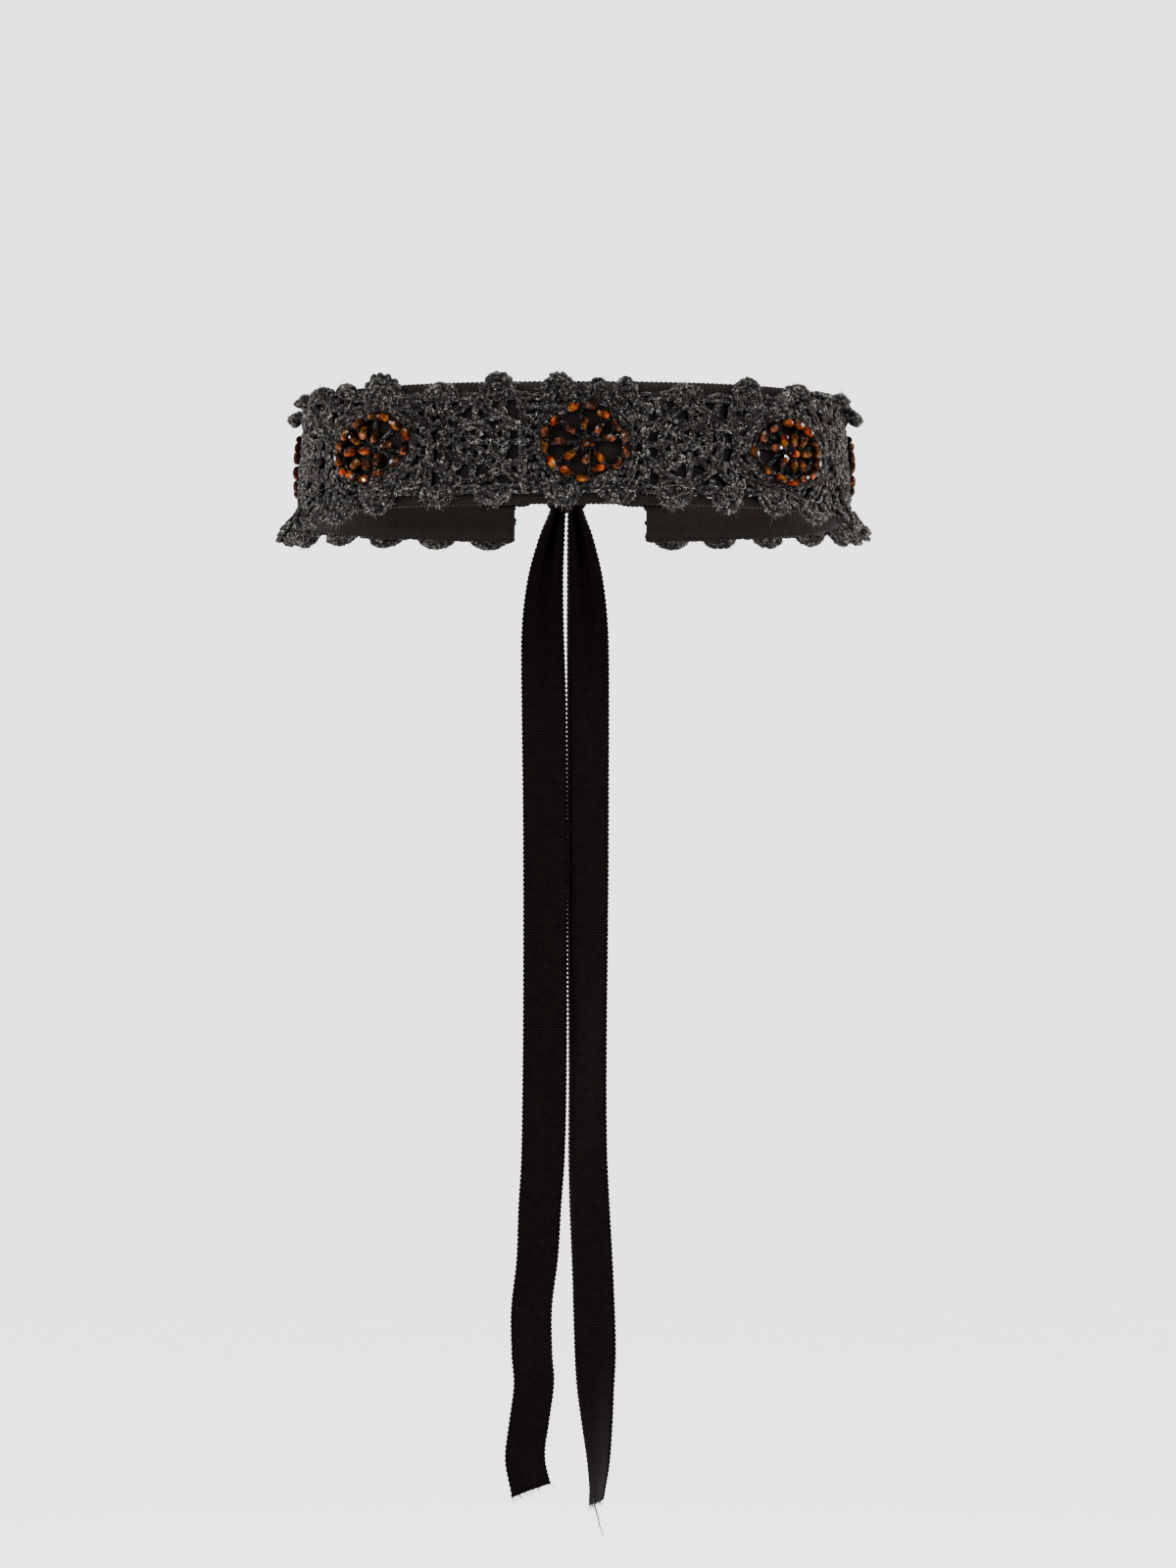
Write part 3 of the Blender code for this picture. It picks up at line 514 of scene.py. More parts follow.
def strands(name, runs, width, sides):
    """Runs of yarn, thread or hair as one mesh of round strands, and how each lies.

    A run is its points in metres with its thickness at each as a share of width. The
    mesh keeps, for each point, the distance along the strand and the turn round it.
    """
    turns = np.arange(sides) * math.tau / sides
    outline = bpy.data.curves.new("strand_outline", "CURVE")
    ring = outline.splines.new("POLY")
    ring.points.add(sides - 1)
    radius = width / 2.0 * MM
    zero = np.zeros(sides)
    ring.points.foreach_set("co", np.column_stack([
        radius * np.cos(turns), radius * np.sin(turns), zero, zero + 1.0,
    ]).ravel())
    ring.use_cyclic_u = True
    outline_shape = set_down("strand_outline", outline)
    line = bpy.data.curves.new(name, "CURVE")
    line.dimensions = "3D"
    line.bevel_mode = "OBJECT"
    line.bevel_object = outline_shape
    for spots, girths in runs:
        spline = line.splines.new("POLY")
        spline.points.add(len(spots) - 1)
        spline.points.foreach_set("co", np.column_stack([spots, np.ones(len(spots))]).ravel())
        spline.points.foreach_set("radius", np.asarray(girths, dtype=float))
    take(set_down(name, line))
    bpy.ops.object.convert(target="MESH")
    piece = bpy.context.object
    bpy.data.objects.remove(outline_shape, do_unlink=True)
    laid = []
    for spots, girths in runs:
        steps = np.linalg.norm(np.diff(spots, axis=0), axis=1) / MM
        laid.append(np.concatenate([[0.0], np.cumsum(steps)]))
    along = np.repeat(np.concatenate(laid), sides)
    turn = np.tile(turns, len(along) // sides)
    lay = piece.data.attributes.new("lay", "FLOAT_VECTOR", "POINT")
    lay.data.foreach_set("vector", np.column_stack([along, np.cos(turn), np.sin(turn)]).ravel())
    with all_selected_in(piece):
        bpy.ops.mesh.fill_holes(sides=0)
        bpy.ops.mesh.normals_make_consistent(inside=False)
    return piece


def roughen(piece, seed):
    """Make round yarn lumpy, as woollen yarn is."""
    with all_selected_in(piece):
        bpy.ops.transform.vertex_random(offset=YARN_LUMPS * MM, uniform=0.0, normal=0.0, seed=seed)


def woven_strip(name, ribs, rows, placed, wall):
    """A ribbon from a flat grid: placed turns shares along and across into metres.

    A rib takes two columns of the grid. The UV is counted in ribs along, so that the
    weave's looks fall on the mesh's ribs.
    """
    bpy.ops.object.select_all(action="DESELECT")
    bpy.ops.mesh.primitive_grid_add(x_subdivisions=2 * ribs, y_subdivisions=rows, size=1.0)
    strip = bpy.context.object
    strip.name = name
    strip.data.name = name
    flat = np.empty(len(strip.data.vertices) * 3)
    strip.data.vertices.foreach_get("co", flat)
    flat = flat.reshape(-1, 3)
    spots = placed(flat[:, 0] + 0.5, flat[:, 1] * 2.0)
    strip.data.vertices.foreach_set("co", spots.ravel())
    strip.data.update()
    weave = strip.data.uv_layers.active.data
    spread = np.empty(len(weave) * 2)
    weave.foreach_get("uv", spread)
    spread = spread.reshape(-1, 2)
    spread[:, 0] *= ribs
    weave.foreach_set("uv", spread.ravel())
    wall_maker = strip.modifiers.new("wall", "SOLIDIFY")
    wall_maker.thickness = wall * MM
    wall_maker.offset = 0.0
    take(strip)
    bpy.ops.object.modifier_apply(modifier=wall_maker.name)
    return strip


def smooth_table(places, columns, spots):
    """The table's columns at each spot, on a smooth curve through its rows."""
    last = len(places) - 1
    i = np.clip(np.searchsorted(places, spots) - 1, 0, last - 1)
    before, after = np.maximum(i - 1, 0), np.minimum(i + 2, last)
    gap = (places[i + 1] - places[i])[:, None]
    share = (spots[:, None] - places[i][:, None]) / gap
    slope_a = (columns[i + 1] - columns[before]) / (places[i + 1] - places[before])[:, None] * gap
    slope_b = (columns[after] - columns[i]) / (places[after] - places[i])[:, None] * gap
    a, b = share * share, share * share * share
    return (
        (2 * b - 3 * a + 1) * columns[i] + (b - 2 * a + share) * slope_a
        + (3 * a - 2 * b) * columns[i + 1] + (b - a) * slope_b
    )


# Materials

MIXED = {"data_type": "RGBA", "blend_type": "MIX"}
MULTIPLIED = {"data_type": "RGBA", "blend_type": "MULTIPLY", 0: 1.0}


def linear(hex_colour):
    """An sRGB hex colour as a linear one."""
    found = []
    for start in (1, 3, 5):
        value = int(hex_colour[start:start + 2], 16) / 255.0
        found.append(value / 12.92 if value <= 0.04045 else ((value + 0.055) / 1.055) ** 2.4)
    return (*found, 1.0)


def add(tree, kind, settings=(), links=()):
    """A shader node of that kind, with its settings or unlinked values, and its links."""
    node = tree.nodes.new("ShaderNode" + kind)
    for key, value in dict(settings).items():
        if isinstance(key, int) or key in node.inputs:
            node.inputs[key].default_value = value
        else:
            setattr(node, key, value)
    for key, source in dict(links).items():
        tree.links.new(source, node.inputs[key])
    return node


def new_material(name):
    """An empty material, its node tree and its output node."""
    material = bpy.data.materials.new(name)
    material.use_nodes = True
    material.node_tree.nodes.clear()
    return material, material.node_tree, add(material.node_tree, "OutputMaterial")


def set_ramp(node, stops):
    """Fill a colour ramp with (place, hex colour) stops."""
    ramp = node.color_ramp
    while len(ramp.elements) < len(stops):
        ramp.elements.new(0.5)
    for element, (place, colour) in zip(ramp.elements, stops):
        element.position = place
        element.color = linear(colour)
    return node


def per_metre(size_mm):
    """A pattern's scale for a feature of that size, on coordinates in metres."""
    return 1.0 / (size_mm * MM)


def painted_nook_shade(tree, colour, reach, power):
    """Painted shade: a colour that goes dark where the surface is closed in, within that reach in mm."""
    nook = add(tree, "AmbientOcclusion", {"samples": 8, "Distance": reach * MM})
    shade = add(tree, "Math", {"operation": "POWER", 1: power}, {0: nook.outputs["AO"]})
    return add(tree, "Mix", MULTIPLIED, {6: colour, 7: shade.outputs[0]})


def curly_fibres(tree, where):
    """Thin lines where two fine noises pass their middle value, as loose fibres curl."""
    lines = []
    for size, reach in ((2.5, 0.024), (1.7, 0.028)):
        curls = add(tree, "TexNoise", {"Scale": per_metre(size), "Detail": 0.6, "Distortion": 1.8}, where)
        off = add(tree, "Math", {"operation": "SUBTRACT", 1: 0.5}, {0: curls.outputs["Fac"]})
        away = add(tree, "Math", {"operation": "ABSOLUTE"}, {0: off.outputs[0]})
        lines.append(add(tree, "MapRange", {1: 0.0, 2: reach, 3: 1.0, 4: 0.0}, {0: away.outputs[0]}))
    return add(tree, "Math", {"operation": "MAXIMUM"}, {0: lines[0].outputs[0], 1: lines[1].outputs[0]})


def tweed_wool():
    """Woollen-spun tweed yarn: dark charcoal heather full of pale curly fibres and brown neps.

    The plies' twist gives slanting furrows, which darken the colour as painted shade, and the
    yarn's nooks get painted shade as well. The fibres show in patches, some browner than
    others, and stand a little off the yarn.
    """
    material, tree, out = new_material("tweed_wool_yarn")
    where = {"Vector": add(tree, "TexCoord").outputs["Object"]}
    lay = add(tree, "Attribute", {"attribute_name": "lay"})
    parts = add(tree, "SeparateXYZ", links={0: lay.outputs["Vector"]})
    lean = add(tree, "Math", {"operation": "MULTIPLY", 1: math.tau / PLY_TWIST}, {0: parts.outputs["X"]})
    sine = add(tree, "Math", {"operation": "SINE"}, {0: lean.outputs[0]})
    cosine = add(tree, "Math", {"operation": "COSINE"}, {0: lean.outputs[0]})
    first = add(tree, "Math", {"operation": "MULTIPLY"}, {0: sine.outputs[0], 1: parts.outputs["Y"]})
    ply = add(tree, "Math", {"operation": "MULTIPLY_ADD"},
              {0: cosine.outputs[0], 1: parts.outputs["Z"], 2: first.outputs[0]})
    heather = add(tree, "TexNoise", {"Scale": per_metre(2.0), "Detail": 4.0, "Roughness": 0.6}, where)
    body = set_ramp(add(tree, "ValToRGB", links={0: heather.outputs["Fac"]}), (
        (0.36, "#010102"), (0.50, "#050506"), (0.64, "#0f0e10"),
    ))
    # The plies' furrows darken the colour: painted shade
    painted_furrow_shade = add(tree, "MapRange", {1: -1.0, 2: 0.4, 3: 0.45, 4: 1.0}, {0: ply.outputs[0]})
    shaded = add(tree, "Mix", MULTIPLIED, {6: body.outputs[0], 7: painted_furrow_shade.outputs[0]})
    fibre = curly_fibres(tree, where)
    patch = add(tree, "TexNoise", {"Scale": per_metre(2.1), "Detail": 3.0, "Roughness": 0.7}, where)
    amount = add(tree, "MapRange", {1: 0.40, 2: 0.62, 3: 0.08, 4: 0.95}, {0: patch.outputs["Fac"]})
    shown = add(tree, "Math", {"operation": "MULTIPLY"}, {0: fibre.outputs[0], 1: amount.outputs[0]})
    kinds = add(tree, "TexNoise", {"Scale": per_metre(3.4), "Detail": 1.0}, where)
    pale = set_ramp(add(tree, "ValToRGB", links={0: kinds.outputs["Fac"]}), (
        (0.34, "#5a4e43"), (0.46, "#726e6a"), (0.66, "#a19d97"),
    ))
    flecked = add(tree, "Mix", MIXED, {0: shown.outputs[0], 6: shaded.outputs[2], 7: pale.outputs[0]})
    # Painted shade where the yarn is closed in, between strands and in the lace's nooks
    deep = painted_nook_shade(tree, flecked.outputs[2], reach=3.0, power=1.5)
    rough = add(tree, "Math", {"operation": "MULTIPLY_ADD", 1: 0.6},
                {0: fibre.outputs[0], 2: heather.outputs["Fac"]})
    height = add(tree, "Math", {"operation": "MULTIPLY_ADD", 1: 0.35},
                 {0: ply.outputs[0], 2: rough.outputs[0]})
    bump = add(tree, "Bump", {"Strength": 0.8, "Distance": 0.3 * MM}, {"Height": height.outputs[0]})
    shader = add(tree, "BsdfPrincipled",
                 {"Roughness": 0.95, "Specular IOR Level": 0.03, "Sheen Weight": 0.05,
                  "Sheen Roughness": 0.3, "Sheen Tint": linear("#a39c96")},
                 {"Base Color": deep.outputs[2], "Normal": bump.outputs[0]})
    tree.links.new(shader.outputs[0], out.inputs[0])
    return material


def loose_wool(name, pale, dark):
    """Single wool fibres, felted loose from the yarn: thin, matt, pale where light catches them."""
    material, tree, out = new_material(name)
    where = {"Vector": add(tree, "TexCoord").outputs["Object"]}
    kinds = add(tree, "TexNoise", {"Scale": per_metre(2.4), "Detail": 2.0}, where)
    colour = set_ramp(add(tree, "ValToRGB", links={0: kinds.outputs["Fac"]}),
                      ((0.38, dark), (0.62, pale)))
    shader = add(tree, "BsdfPrincipled", {"Roughness": 0.9, "Specular IOR Level": 0.1},
                 {"Base Color": colour.outputs[0]})
    tree.links.new(shader.outputs[0], out.inputs[0])
    return material


def grosgrain(name, crest_with_painted_highlight, groove_with_painted_shade, shine):
    """Woven grosgrain: heavy weft ribs bound by fine warp, black-brown with a dull sheen.

    The ribs are in the mesh. Here their crests are painted a little lighter, a painted highlight,
    and their grooves darker, painted shade, and the warp's threads cross them, drawn at 0.4 mm
    because the real 0.15 mm is too fine to show. Nooks get painted shade as well.
    """
    material, tree, out = new_material(name)
    places = add(tree, "TexCoord")
    where = {"Vector": places.outputs["Object"]}
    cloth = add(tree, "SeparateXYZ", links={0: places.outputs["UV"]})
    rib = add(tree, "Math", {"operation": "MULTIPLY", 1: math.tau}, {0: cloth.outputs["X"]})
    wave = add(tree, "Math", {"operation": "COSINE"}, {0: rib.outputs[0]})
    slub = add(tree, "TexNoise", {"Scale": per_metre(3.0), "Detail": 3.0}, where)
    warp = add(tree, "TexNoise", {"Scale": per_metre(0.4), "Detail": 2.0}, where)
    # The ribs' crests are painted lighter, a painted highlight, and their grooves darker, painted shade
    level = add(tree, "MapRange", {1: -0.4, 2: 1.0, 3: 0.0, 4: 0.7}, {0: wave.outputs[0]})
    mixed = add(tree, "Math", {"operation": "MULTIPLY_ADD", 1: 0.5},
                {0: slub.outputs["Fac"], 2: level.outputs[0]})
    colour = set_ramp(add(tree, "ValToRGB", links={0: mixed.outputs[0]}),
                      ((0.15, groove_with_painted_shade), (0.85, crest_with_painted_highlight)))
    # Painted shade in nooks: under the lace and in the knot's folds
    deep = painted_nook_shade(tree, colour.outputs[0], reach=6.0, power=2.0)
    height = add(tree, "Math", {"operation": "MULTIPLY_ADD", 1: 0.25},
                 {0: warp.outputs["Fac"], 2: level.outputs[0]})
    bump = add(tree, "Bump", {"Strength": 0.5, "Distance": 0.12 * MM}, {"Height": height.outputs[0]})
    shader = add(tree, "BsdfPrincipled",
                 {"Roughness": 0.5, "Specular IOR Level": 0.04 * shine, "Sheen Weight": 0.004 * shine,
                  "Sheen Roughness": 0.4, "Sheen Tint": linear("#a08c88")},
                 {"Base Color": deep.outputs[2], "Normal": bump.outputs[0]})
    tree.links.new(shader.outputs[0], out.inputs[0])
    return material


def amber_glass():
    """Fire-polished amber glass: each bead in two of its browns, from milky over amber to orange.
    Its light is painted: painted shade at its rim, a painted glow gathered on one side,
    a painted brightness on each facet, and a painted white glint on a few facets."""
    material, tree, out = new_material("fire_polished_amber_glass")
    tint = add(tree, "Attribute", {"attribute_name": "tint"})
    painted_glow = add(tree, "Attribute", {"attribute_name": "painted_glow"})
    painted_facet_light = add(tree, "Attribute", {"attribute_name": "painted_facet_light"})
    painted_glint = add(tree, "Attribute", {"attribute_name": "painted_glint"})
    brown = set_ramp(add(tree, "ValToRGB", links={0: tint.outputs["Fac"]}), (
        (0.05, "#3d261c"), (0.32, "#582b1a"), (0.55, "#5a360d"), (0.78, "#80380d"), (0.95, "#6c1e09"),
    ))
    # Painted light: the painted glow and each facet's painted brightness set how light the brown is
    painted_light = add(tree, "Math", {"operation": "ADD"}, {0: painted_glow.outputs["Fac"], 1: painted_facet_light.outputs["Fac"]})
    steep = add(tree, "Math", {"operation": "POWER", 1: 2.6}, {0: painted_light.outputs[0]})
    level = add(tree, "MapRange", {1: 0.0, 2: 1.0, 3: 0.015, 4: 1.35}, {0: steep.outputs[0]})
    glass = add(tree, "Mix", MULTIPLIED, {6: brown.outputs[0], 7: level.outputs[0]})
    # A few facets are painted pale peach-white: painted glints
    colour = add(tree, "Mix", {**MIXED, 7: linear("#fff2e8")},
                 {0: painted_glint.outputs["Fac"], 6: glass.outputs[2]})
    shader = add(tree, "BsdfPrincipled",
                 {"Roughness": 0.12, "IOR": 1.56, "Transmission Weight": 0.02,
                  "Specular IOR Level": 0.008},
                 {"Base Color": colour.outputs[2]})
    tree.links.new(shader.outputs[0], out.inputs[0])
    return material


def plain_thread(name, colour, roughness):
    """Waxed sewing or beading thread: dark, smooth, with a thin line of shine."""
    material, tree, out = new_material(name)
    where = {"Vector": add(tree, "TexCoord").outputs["Object"]}
    twist = add(tree, "TexNoise", {"Scale": per_metre(0.6), "Detail": 2.0}, where)
    tone = set_ramp(add(tree, "ValToRGB", links={0: twist.outputs["Fac"]}),
                    ((0.3, "#0c0b0b"), (0.7, colour)))
    shader = add(tree, "BsdfPrincipled", {"Roughness": roughness, "Specular IOR Level": 0.05},
                 {"Base Color": tone.outputs[0]})
    tree.links.new(shader.outputs[0], out.inputs[0])
    return material


# Camera, floor and light

def set_camera():
    """The view from in front, level."""
    view = bpy.data.cameras.new("camera")
    view.lens = CAMERA_LENS
    view.sensor_width = CAMERA_SENSOR
    view.clip_end = 100.0
    camera = set_down("camera", view)
    camera.location = CAMERA_PLACE
    camera.rotation_euler = (math.radians(90.0), 0.0, 0.0)
    bpy.context.scene.camera = camera


def set_floor():
    """A plain pale floor, wide enough to fade into the pale surroundings."""
    bpy.ops.object.select_all(action="DESELECT")
    bpy.ops.mesh.primitive_circle_add(vertices=64, radius=FLOOR_RADIUS, fill_type="NGON",
                                      location=(0.0, 0.0, FLOOR_HEIGHT))
    floor = bpy.context.object
    floor.name = "floor"
    material, tree, out = new_material("pale_floor")
    shader = add(tree, "BsdfPrincipled",
                 {"Base Color": linear("#fdfdfc"), "Roughness": 0.95, "Specular IOR Level": 0.0})
    tree.links.new(shader.outputs[0], out.inputs[0])
    floor.data.materials.append(material)


def set_light():
    """Soft studio light: pale surroundings, two front lights, one above and one at each side."""
    world = bpy.data.worlds.new("studio")
    world.use_nodes = True
    sky = world.node_tree.nodes["Background"]
    sky.inputs[0].default_value = linear("#fbfbfa")
    sky.inputs[1].default_value = SURROUNDINGS
    bpy.context.scene.world = world
    for name, place, size, power in LAMPS:
        lamp = bpy.data.lights.new(name, "AREA")
        lamp.shape = "DISK"
        lamp.size = size
        lamp.energy = power
        shown = set_down(name, lamp)
        shown.location = place
        shown.rotation_euler = (-Vector(place)).to_track_quat("-Z", "Y").to_euler()


# Crochet stitches, laid out flat in millimetres: along, up and out from the band

def route_of(points):
    """A flat route and the distance along it of each of its points."""
    route = np.array(points, dtype=float)
    steps = np.hypot(np.diff(route[:, 0]), np.diff(route[:, 1]))
    return route, np.concatenate([[0.0], np.cumsum(steps)])


def walked(route, reach, spots):
    """The route's points at those distances along it."""
    return np.column_stack([np.interp(spots, reach, route[:, 0]), np.interp(spots, reach, route[:, 1])])


def wobble(dice, count, size):
    """That many small uneven amounts."""
    return np.array([dice.gauss(0.0, size) for _ in range(count)])


def thick_and_thin(dice, count):
    """Hand-spun yarn's thickness along a run, as shares."""
    knots = max(2, count // 7 + 2)
    levels = [dice.uniform(0.8, 1.22) for _ in range(knots)]
    return np.interp(np.linspace(0.0, knots - 1.0, count), np.arange(knots), levels)


def chain(dice, points, spread=CHAIN_SPREAD):
    """A cord of chain stitches along a route."""
    route, reach = route_of(points)
    count = max(2, round(reach[-1] / CHAIN_STITCH))
    loop = np.array(CHAIN_LOOP)
    size = len(loop)
    start = np.arange(count) + wobble(dice, count, 0.07)
    spots = ((start[:, None] + loop[None, :, 0]) * reach[-1] / count).ravel()
    ahead = walked(route, reach, spots + CHAIN_AHEAD) - walked(route, reach, spots - CHAIN_AHEAD)
    ahead /= np.maximum(np.hypot(ahead[:, 0], ahead[:, 1]), 1e-6)[:, None]
    widths = np.repeat(spread * (1.0 + wobble(dice, count, 0.12)), size)
    sway = np.repeat(wobble(dice, count, 0.22), size)
    aside = np.tile(loop[:, 1], count) * widths + sway
    place = walked(route, reach, spots)
    x = place[:, 0] - ahead[:, 1] * aside + wobble(dice, len(spots), 0.07)
    y = place[:, 1] + ahead[:, 0] * aside + wobble(dice, len(spots), 0.07)
    out = CHAIN_LOW + np.tile(loop[:, 2], count) * (CHAIN_HIGH - CHAIN_LOW)
    out = out + np.repeat(wobble(dice, count, 0.13), size)
    return [np.column_stack([x, y, out])]


def post(dice, start, end):
    """A tall stitch: two strands of yarn twisted round each other."""
    route, reach = route_of((start, end))
    count = max(4, round(reach[-1] / POST_STEP))
    share = np.linspace(0.0, 1.0, count + 1)
    ahead = (route[1] - route[0]) / reach[-1]
    phase = dice.uniform(0.0, math.tau)
    found = []
    for side in (0.0, math.pi):
        turn = phase + side + math.tau * share * reach[-1] / POST_TWIST
        aside = POST_SPREAD * np.cos(turn) + wobble(dice, count + 1, 0.06)
        middle = walked(route, reach, share * reach[-1])
        out = CHAIN_MIDDLE + POST_RISE * np.sin(turn)
        x = middle[:, 0] - ahead[1] * aside
        y = middle[:, 1] + ahead[0] * aside
        found.append(np.column_stack([x, y, out]))
    return found


def rotated(x, y, turn):
    """Flat places turned round the middle."""
    cos, sin = math.cos(turn), math.sin(turn)
    return x * cos - y * sin, x * sin + y * cos


def picot(dice, middle, way):
    """One small knob of yarn on a shell's rim: a tight loop that points that way."""
    knob = np.array(SHELL_KNOB) * dice.uniform(0.88, 1.12)
    x, y = rotated(knob[:, 0], knob[:, 1], way)
    x = middle[0] + x + wobble(dice, len(knob), 0.1)
    y = middle[1] + y + wobble(dice, len(knob), 0.1)
    out = CHAIN_MIDDLE + np.linspace(-0.5, 0.6, len(knob)) * dice.choice((-1.0, 1.0))
    return [np.column_stack([x, y, out])]


def on_oval(size, turn):
    """A place on an oval of that half width and half height round a wheel's middle."""
    return size[0] * math.cos(turn), size[1] * math.sin(turn)


def oval(half_width, half_height, steps=40):
    """A closed oval route round a wheel's middle."""
    turn = np.linspace(0.0, math.tau, steps + 1)
    return np.column_stack([half_width * np.cos(turn), half_height * np.sin(turn)])


def shell(dice, along, rise, edge, reach):
    """A fan of tall stitches with chains and picots round it, puffed outwards, and its pads.

    The pads are the felted heart of the shell, which closes the gaps between its stitches.
    """
    foot = LACE_EDGE - SHELL_TUCK
    tall = rise + SHELL_TUCK

    def spot(turn, share):
        return along - reach * share * math.cos(turn), edge * (foot + tall * share * math.sin(turn))

    runs = []
    for place in np.linspace(*POST_FAN, SHELL_POSTS) * math.pi:
        start = (along - SHELL_FEET * reach * math.cos(place), edge * (foot + POST_FOOT))
        runs += post(dice, start, spot(place + dice.gauss(0.0, 0.04), SHELL_RIM))
    runs += chain(dice, [spot(turn, SHELL_RIM) for turn in np.linspace(0.0, math.pi, 9)])
    runs += chain(dice, [spot(turn, SHELL_INNER) for turn in np.linspace(0.1, math.pi - 0.1, 7)])
    crown = chain(dice, [spot(turn, SHELL_CROWN) for turn in np.linspace(0.0, math.pi, 8)])
    for run in crown:
        run[:, 2] += CROWN_RISE
    runs += crown
    for place in np.linspace(*PICOT_FAN, SHELL_PICOTS) * math.pi:
        turn = place + dice.gauss(0.0, 0.06)
        way = math.atan2(edge * math.sin(turn), -math.cos(turn))
        runs += picot(dice, spot(turn, SHELL_TIPS), way)
    pads = []
    for share, girth in SHELL_PADS:
        arc = np.array([spot(turn, share) for turn in np.linspace(-0.05, math.pi + 0.05, 11)])
        pads.append((np.column_stack([arc, CHAIN_LOW + PAD_LIFT + wobble(dice, len(arc), 0.15)]), girth))
    for run in runs + [arc for arc, _ in pads]:
        side = np.clip((run[:, 0] - along) / (reach + 1.5), -1.0, 1.0)
        up = np.clip((np.abs(run[:, 1]) - foot) / tall, 0.0, 1.0)
        run[:, 2] += SHELL_RAISE * (1.0 - side * side) * np.sin(math.pi * (0.1 + 0.8 * up))
    return runs, pads


def shell_rows(motif, edge):
    """The shells of a motif on one edge: place along, rise and half width of each."""
    rows = sorted((along, rise) for m, e, along, rise in SHELLS if m == motif and e == edge)
    found = []
    for number, (along, rise) in enumerate(rows):
        reach = WIDE_SHELLS.get((motif, edge, along), SHELL_HALF)
        for other, _ in rows[:number] + rows[number + 1:]:
            room = abs(other - along) - 2.0 * SHELL_NECK
            if (motif, edge, other) in WIDE_SHELLS:
                reach = min(reach, room - WIDE_SHELLS[motif, edge, other])
            elif reach <= SHELL_HALF:
                reach = min(reach, room / 2.0)
        if (motif, edge, along) not in WIDE_SHELLS:
            reach = min(reach, MOTIF_HALF - abs(along) + SHELL_PAST_SEAM)
        found.append((along, rise, reach))
    return found


def loosened(dice, points, size=0.6):
    """A charted route with each point a little off, as handwork is."""
    return [(x + dice.gauss(0.0, size), y + dice.gauss(0.0, size)) for x, y in points]


def mirror(points):
    """A charted route on the other side of the wheel."""
    return [(-x, y) for x, y in points]


def wheel_hub(dice):
    """The small ring in a wheel's middle."""
    return chain(dice, oval(*WHEEL_HUB, 16), spread=HUB_SPREAD)


def spoke(dice, start, end):
    """One loose strand of yarn, low on the ribbon."""
    share = np.linspace(0.0, 1.0, SPOKE_POINTS)[:, None]
    flat = np.array(start) * (1.0 - share) + np.array(end) * share
    flat += np.column_stack([wobble(dice, SPOKE_POINTS, 0.25), wobble(dice, SPOKE_POINTS, 0.25)])
    return [np.column_stack([flat, CHAIN_LOW + wobble(dice, SPOKE_POINTS, 0.2)])]


def plain_wheel(dice, turned):
    """The open wheel: a hub and ring held by a peaked frame of cords."""
    runs = wheel_hub(dice)
    within = [size - PLAIN_RING_WITHIN for size in PLAIN_RING]
    for turn in np.arange(PLAIN_SPOKES) * math.tau / PLAIN_SPOKES + dice.uniform(0.0, 0.4):
        runs += post(dice, on_oval(PLAIN_HUB_RIM, turn), on_oval(within, turn))
    runs += chain(dice, oval(*PLAIN_RING), spread=RING_SPREAD)
    charted = []
    for cords, make in ((PLAIN_CORDS_BOTH_SIDES, chain), (PLAIN_POSTS_BOTH_SIDES, post)):
        for points in cords:
            charted.append((make, points))
            charted.append((make, mirror(points)))
    charted += [(chain, points) for points in PLAIN_CORDS]
    charted += [(post, points) for points in PLAIN_POSTS]
    for make, points in charted:
        points = loosened(dice, mirror(points) if turned else points)
        runs += make(dice, *points) if make is post else make(dice, points, spread=RING_SPREAD)
    return runs


def beaded_wheel(dice, rim):
    """The wheel under the beads: a hub on loose spokes, then a close rim and its corners."""
    runs = wheel_hub(dice)
    for i in range(BEADED_SPOKES):
        turn = math.tau * i / BEADED_SPOKES + dice.gauss(0.0, 0.09)
        runs += spoke(dice, on_oval(WHEEL_HUB, turn), on_oval(rim, turn))
    for ring in (rim, BEADED_OUTER):
        runs += chain(dice, loosened(dice, oval(*ring), 0.25), spread=RING_SPREAD)
    for i in range(BEADED_STAYS):
        turn = math.tau * (i + 0.5) / BEADED_STAYS + dice.gauss(0.0, 0.05)
        runs += post(dice, on_oval(rim, turn), on_oval(BEADED_OUTER, turn))
    for across in (-1.0, 1.0):
        for up in (-1.0, 1.0):
            corner = [(across * x, up * y) for x, y in BEADED_CORNER]
            runs += chain(dice, loosened(dice, corner))
    return runs


def motif_runs(motif, dice):
    """All of one motif's yarn and its shells' pads: wheel, borders, shells and side bars."""
    beaded = motif % 2 == 0
    if beaded:
        _, half_width, half_height, _ = next(row for row in ROSETTES if row[0] == motif)
        runs = beaded_wheel(dice, (half_width + BEADED_RIM_OFF, half_height + BEADED_RIM_OFF))
    else:
        runs = plain_wheel(dice, turned=motif in TURNED_WHEELS)
    pads = []
    for edge in (-1.0, 1.0):
        spots = np.linspace(-BORDER_HALF, BORDER_HALF, 9)
        runs += chain(dice, [(x, edge * (BORDER_UP + dice.gauss(0.0, 0.25))) for x in spots])
        for along, rise, reach in shell_rows(motif, edge):
            stitches, hearts = shell(dice, along, rise, edge, reach)
            runs += stitches
            pads += hearts
    for side in (-1.0, 1.0):
        for up in BEADED_BARS if beaded else PLAIN_BARS:
            foot = BEADED_OUTER[0] * math.sqrt(1.0 - (up / BAR_OVAL_UP) ** 2) if beaded else COLUMN_ALONG
            up = up + dice.gauss(0.0, 0.6)
            runs += post(dice, (side * foot, up), (side * BAR_END, up + dice.gauss(0.0, 0.9)))
    return runs, pads


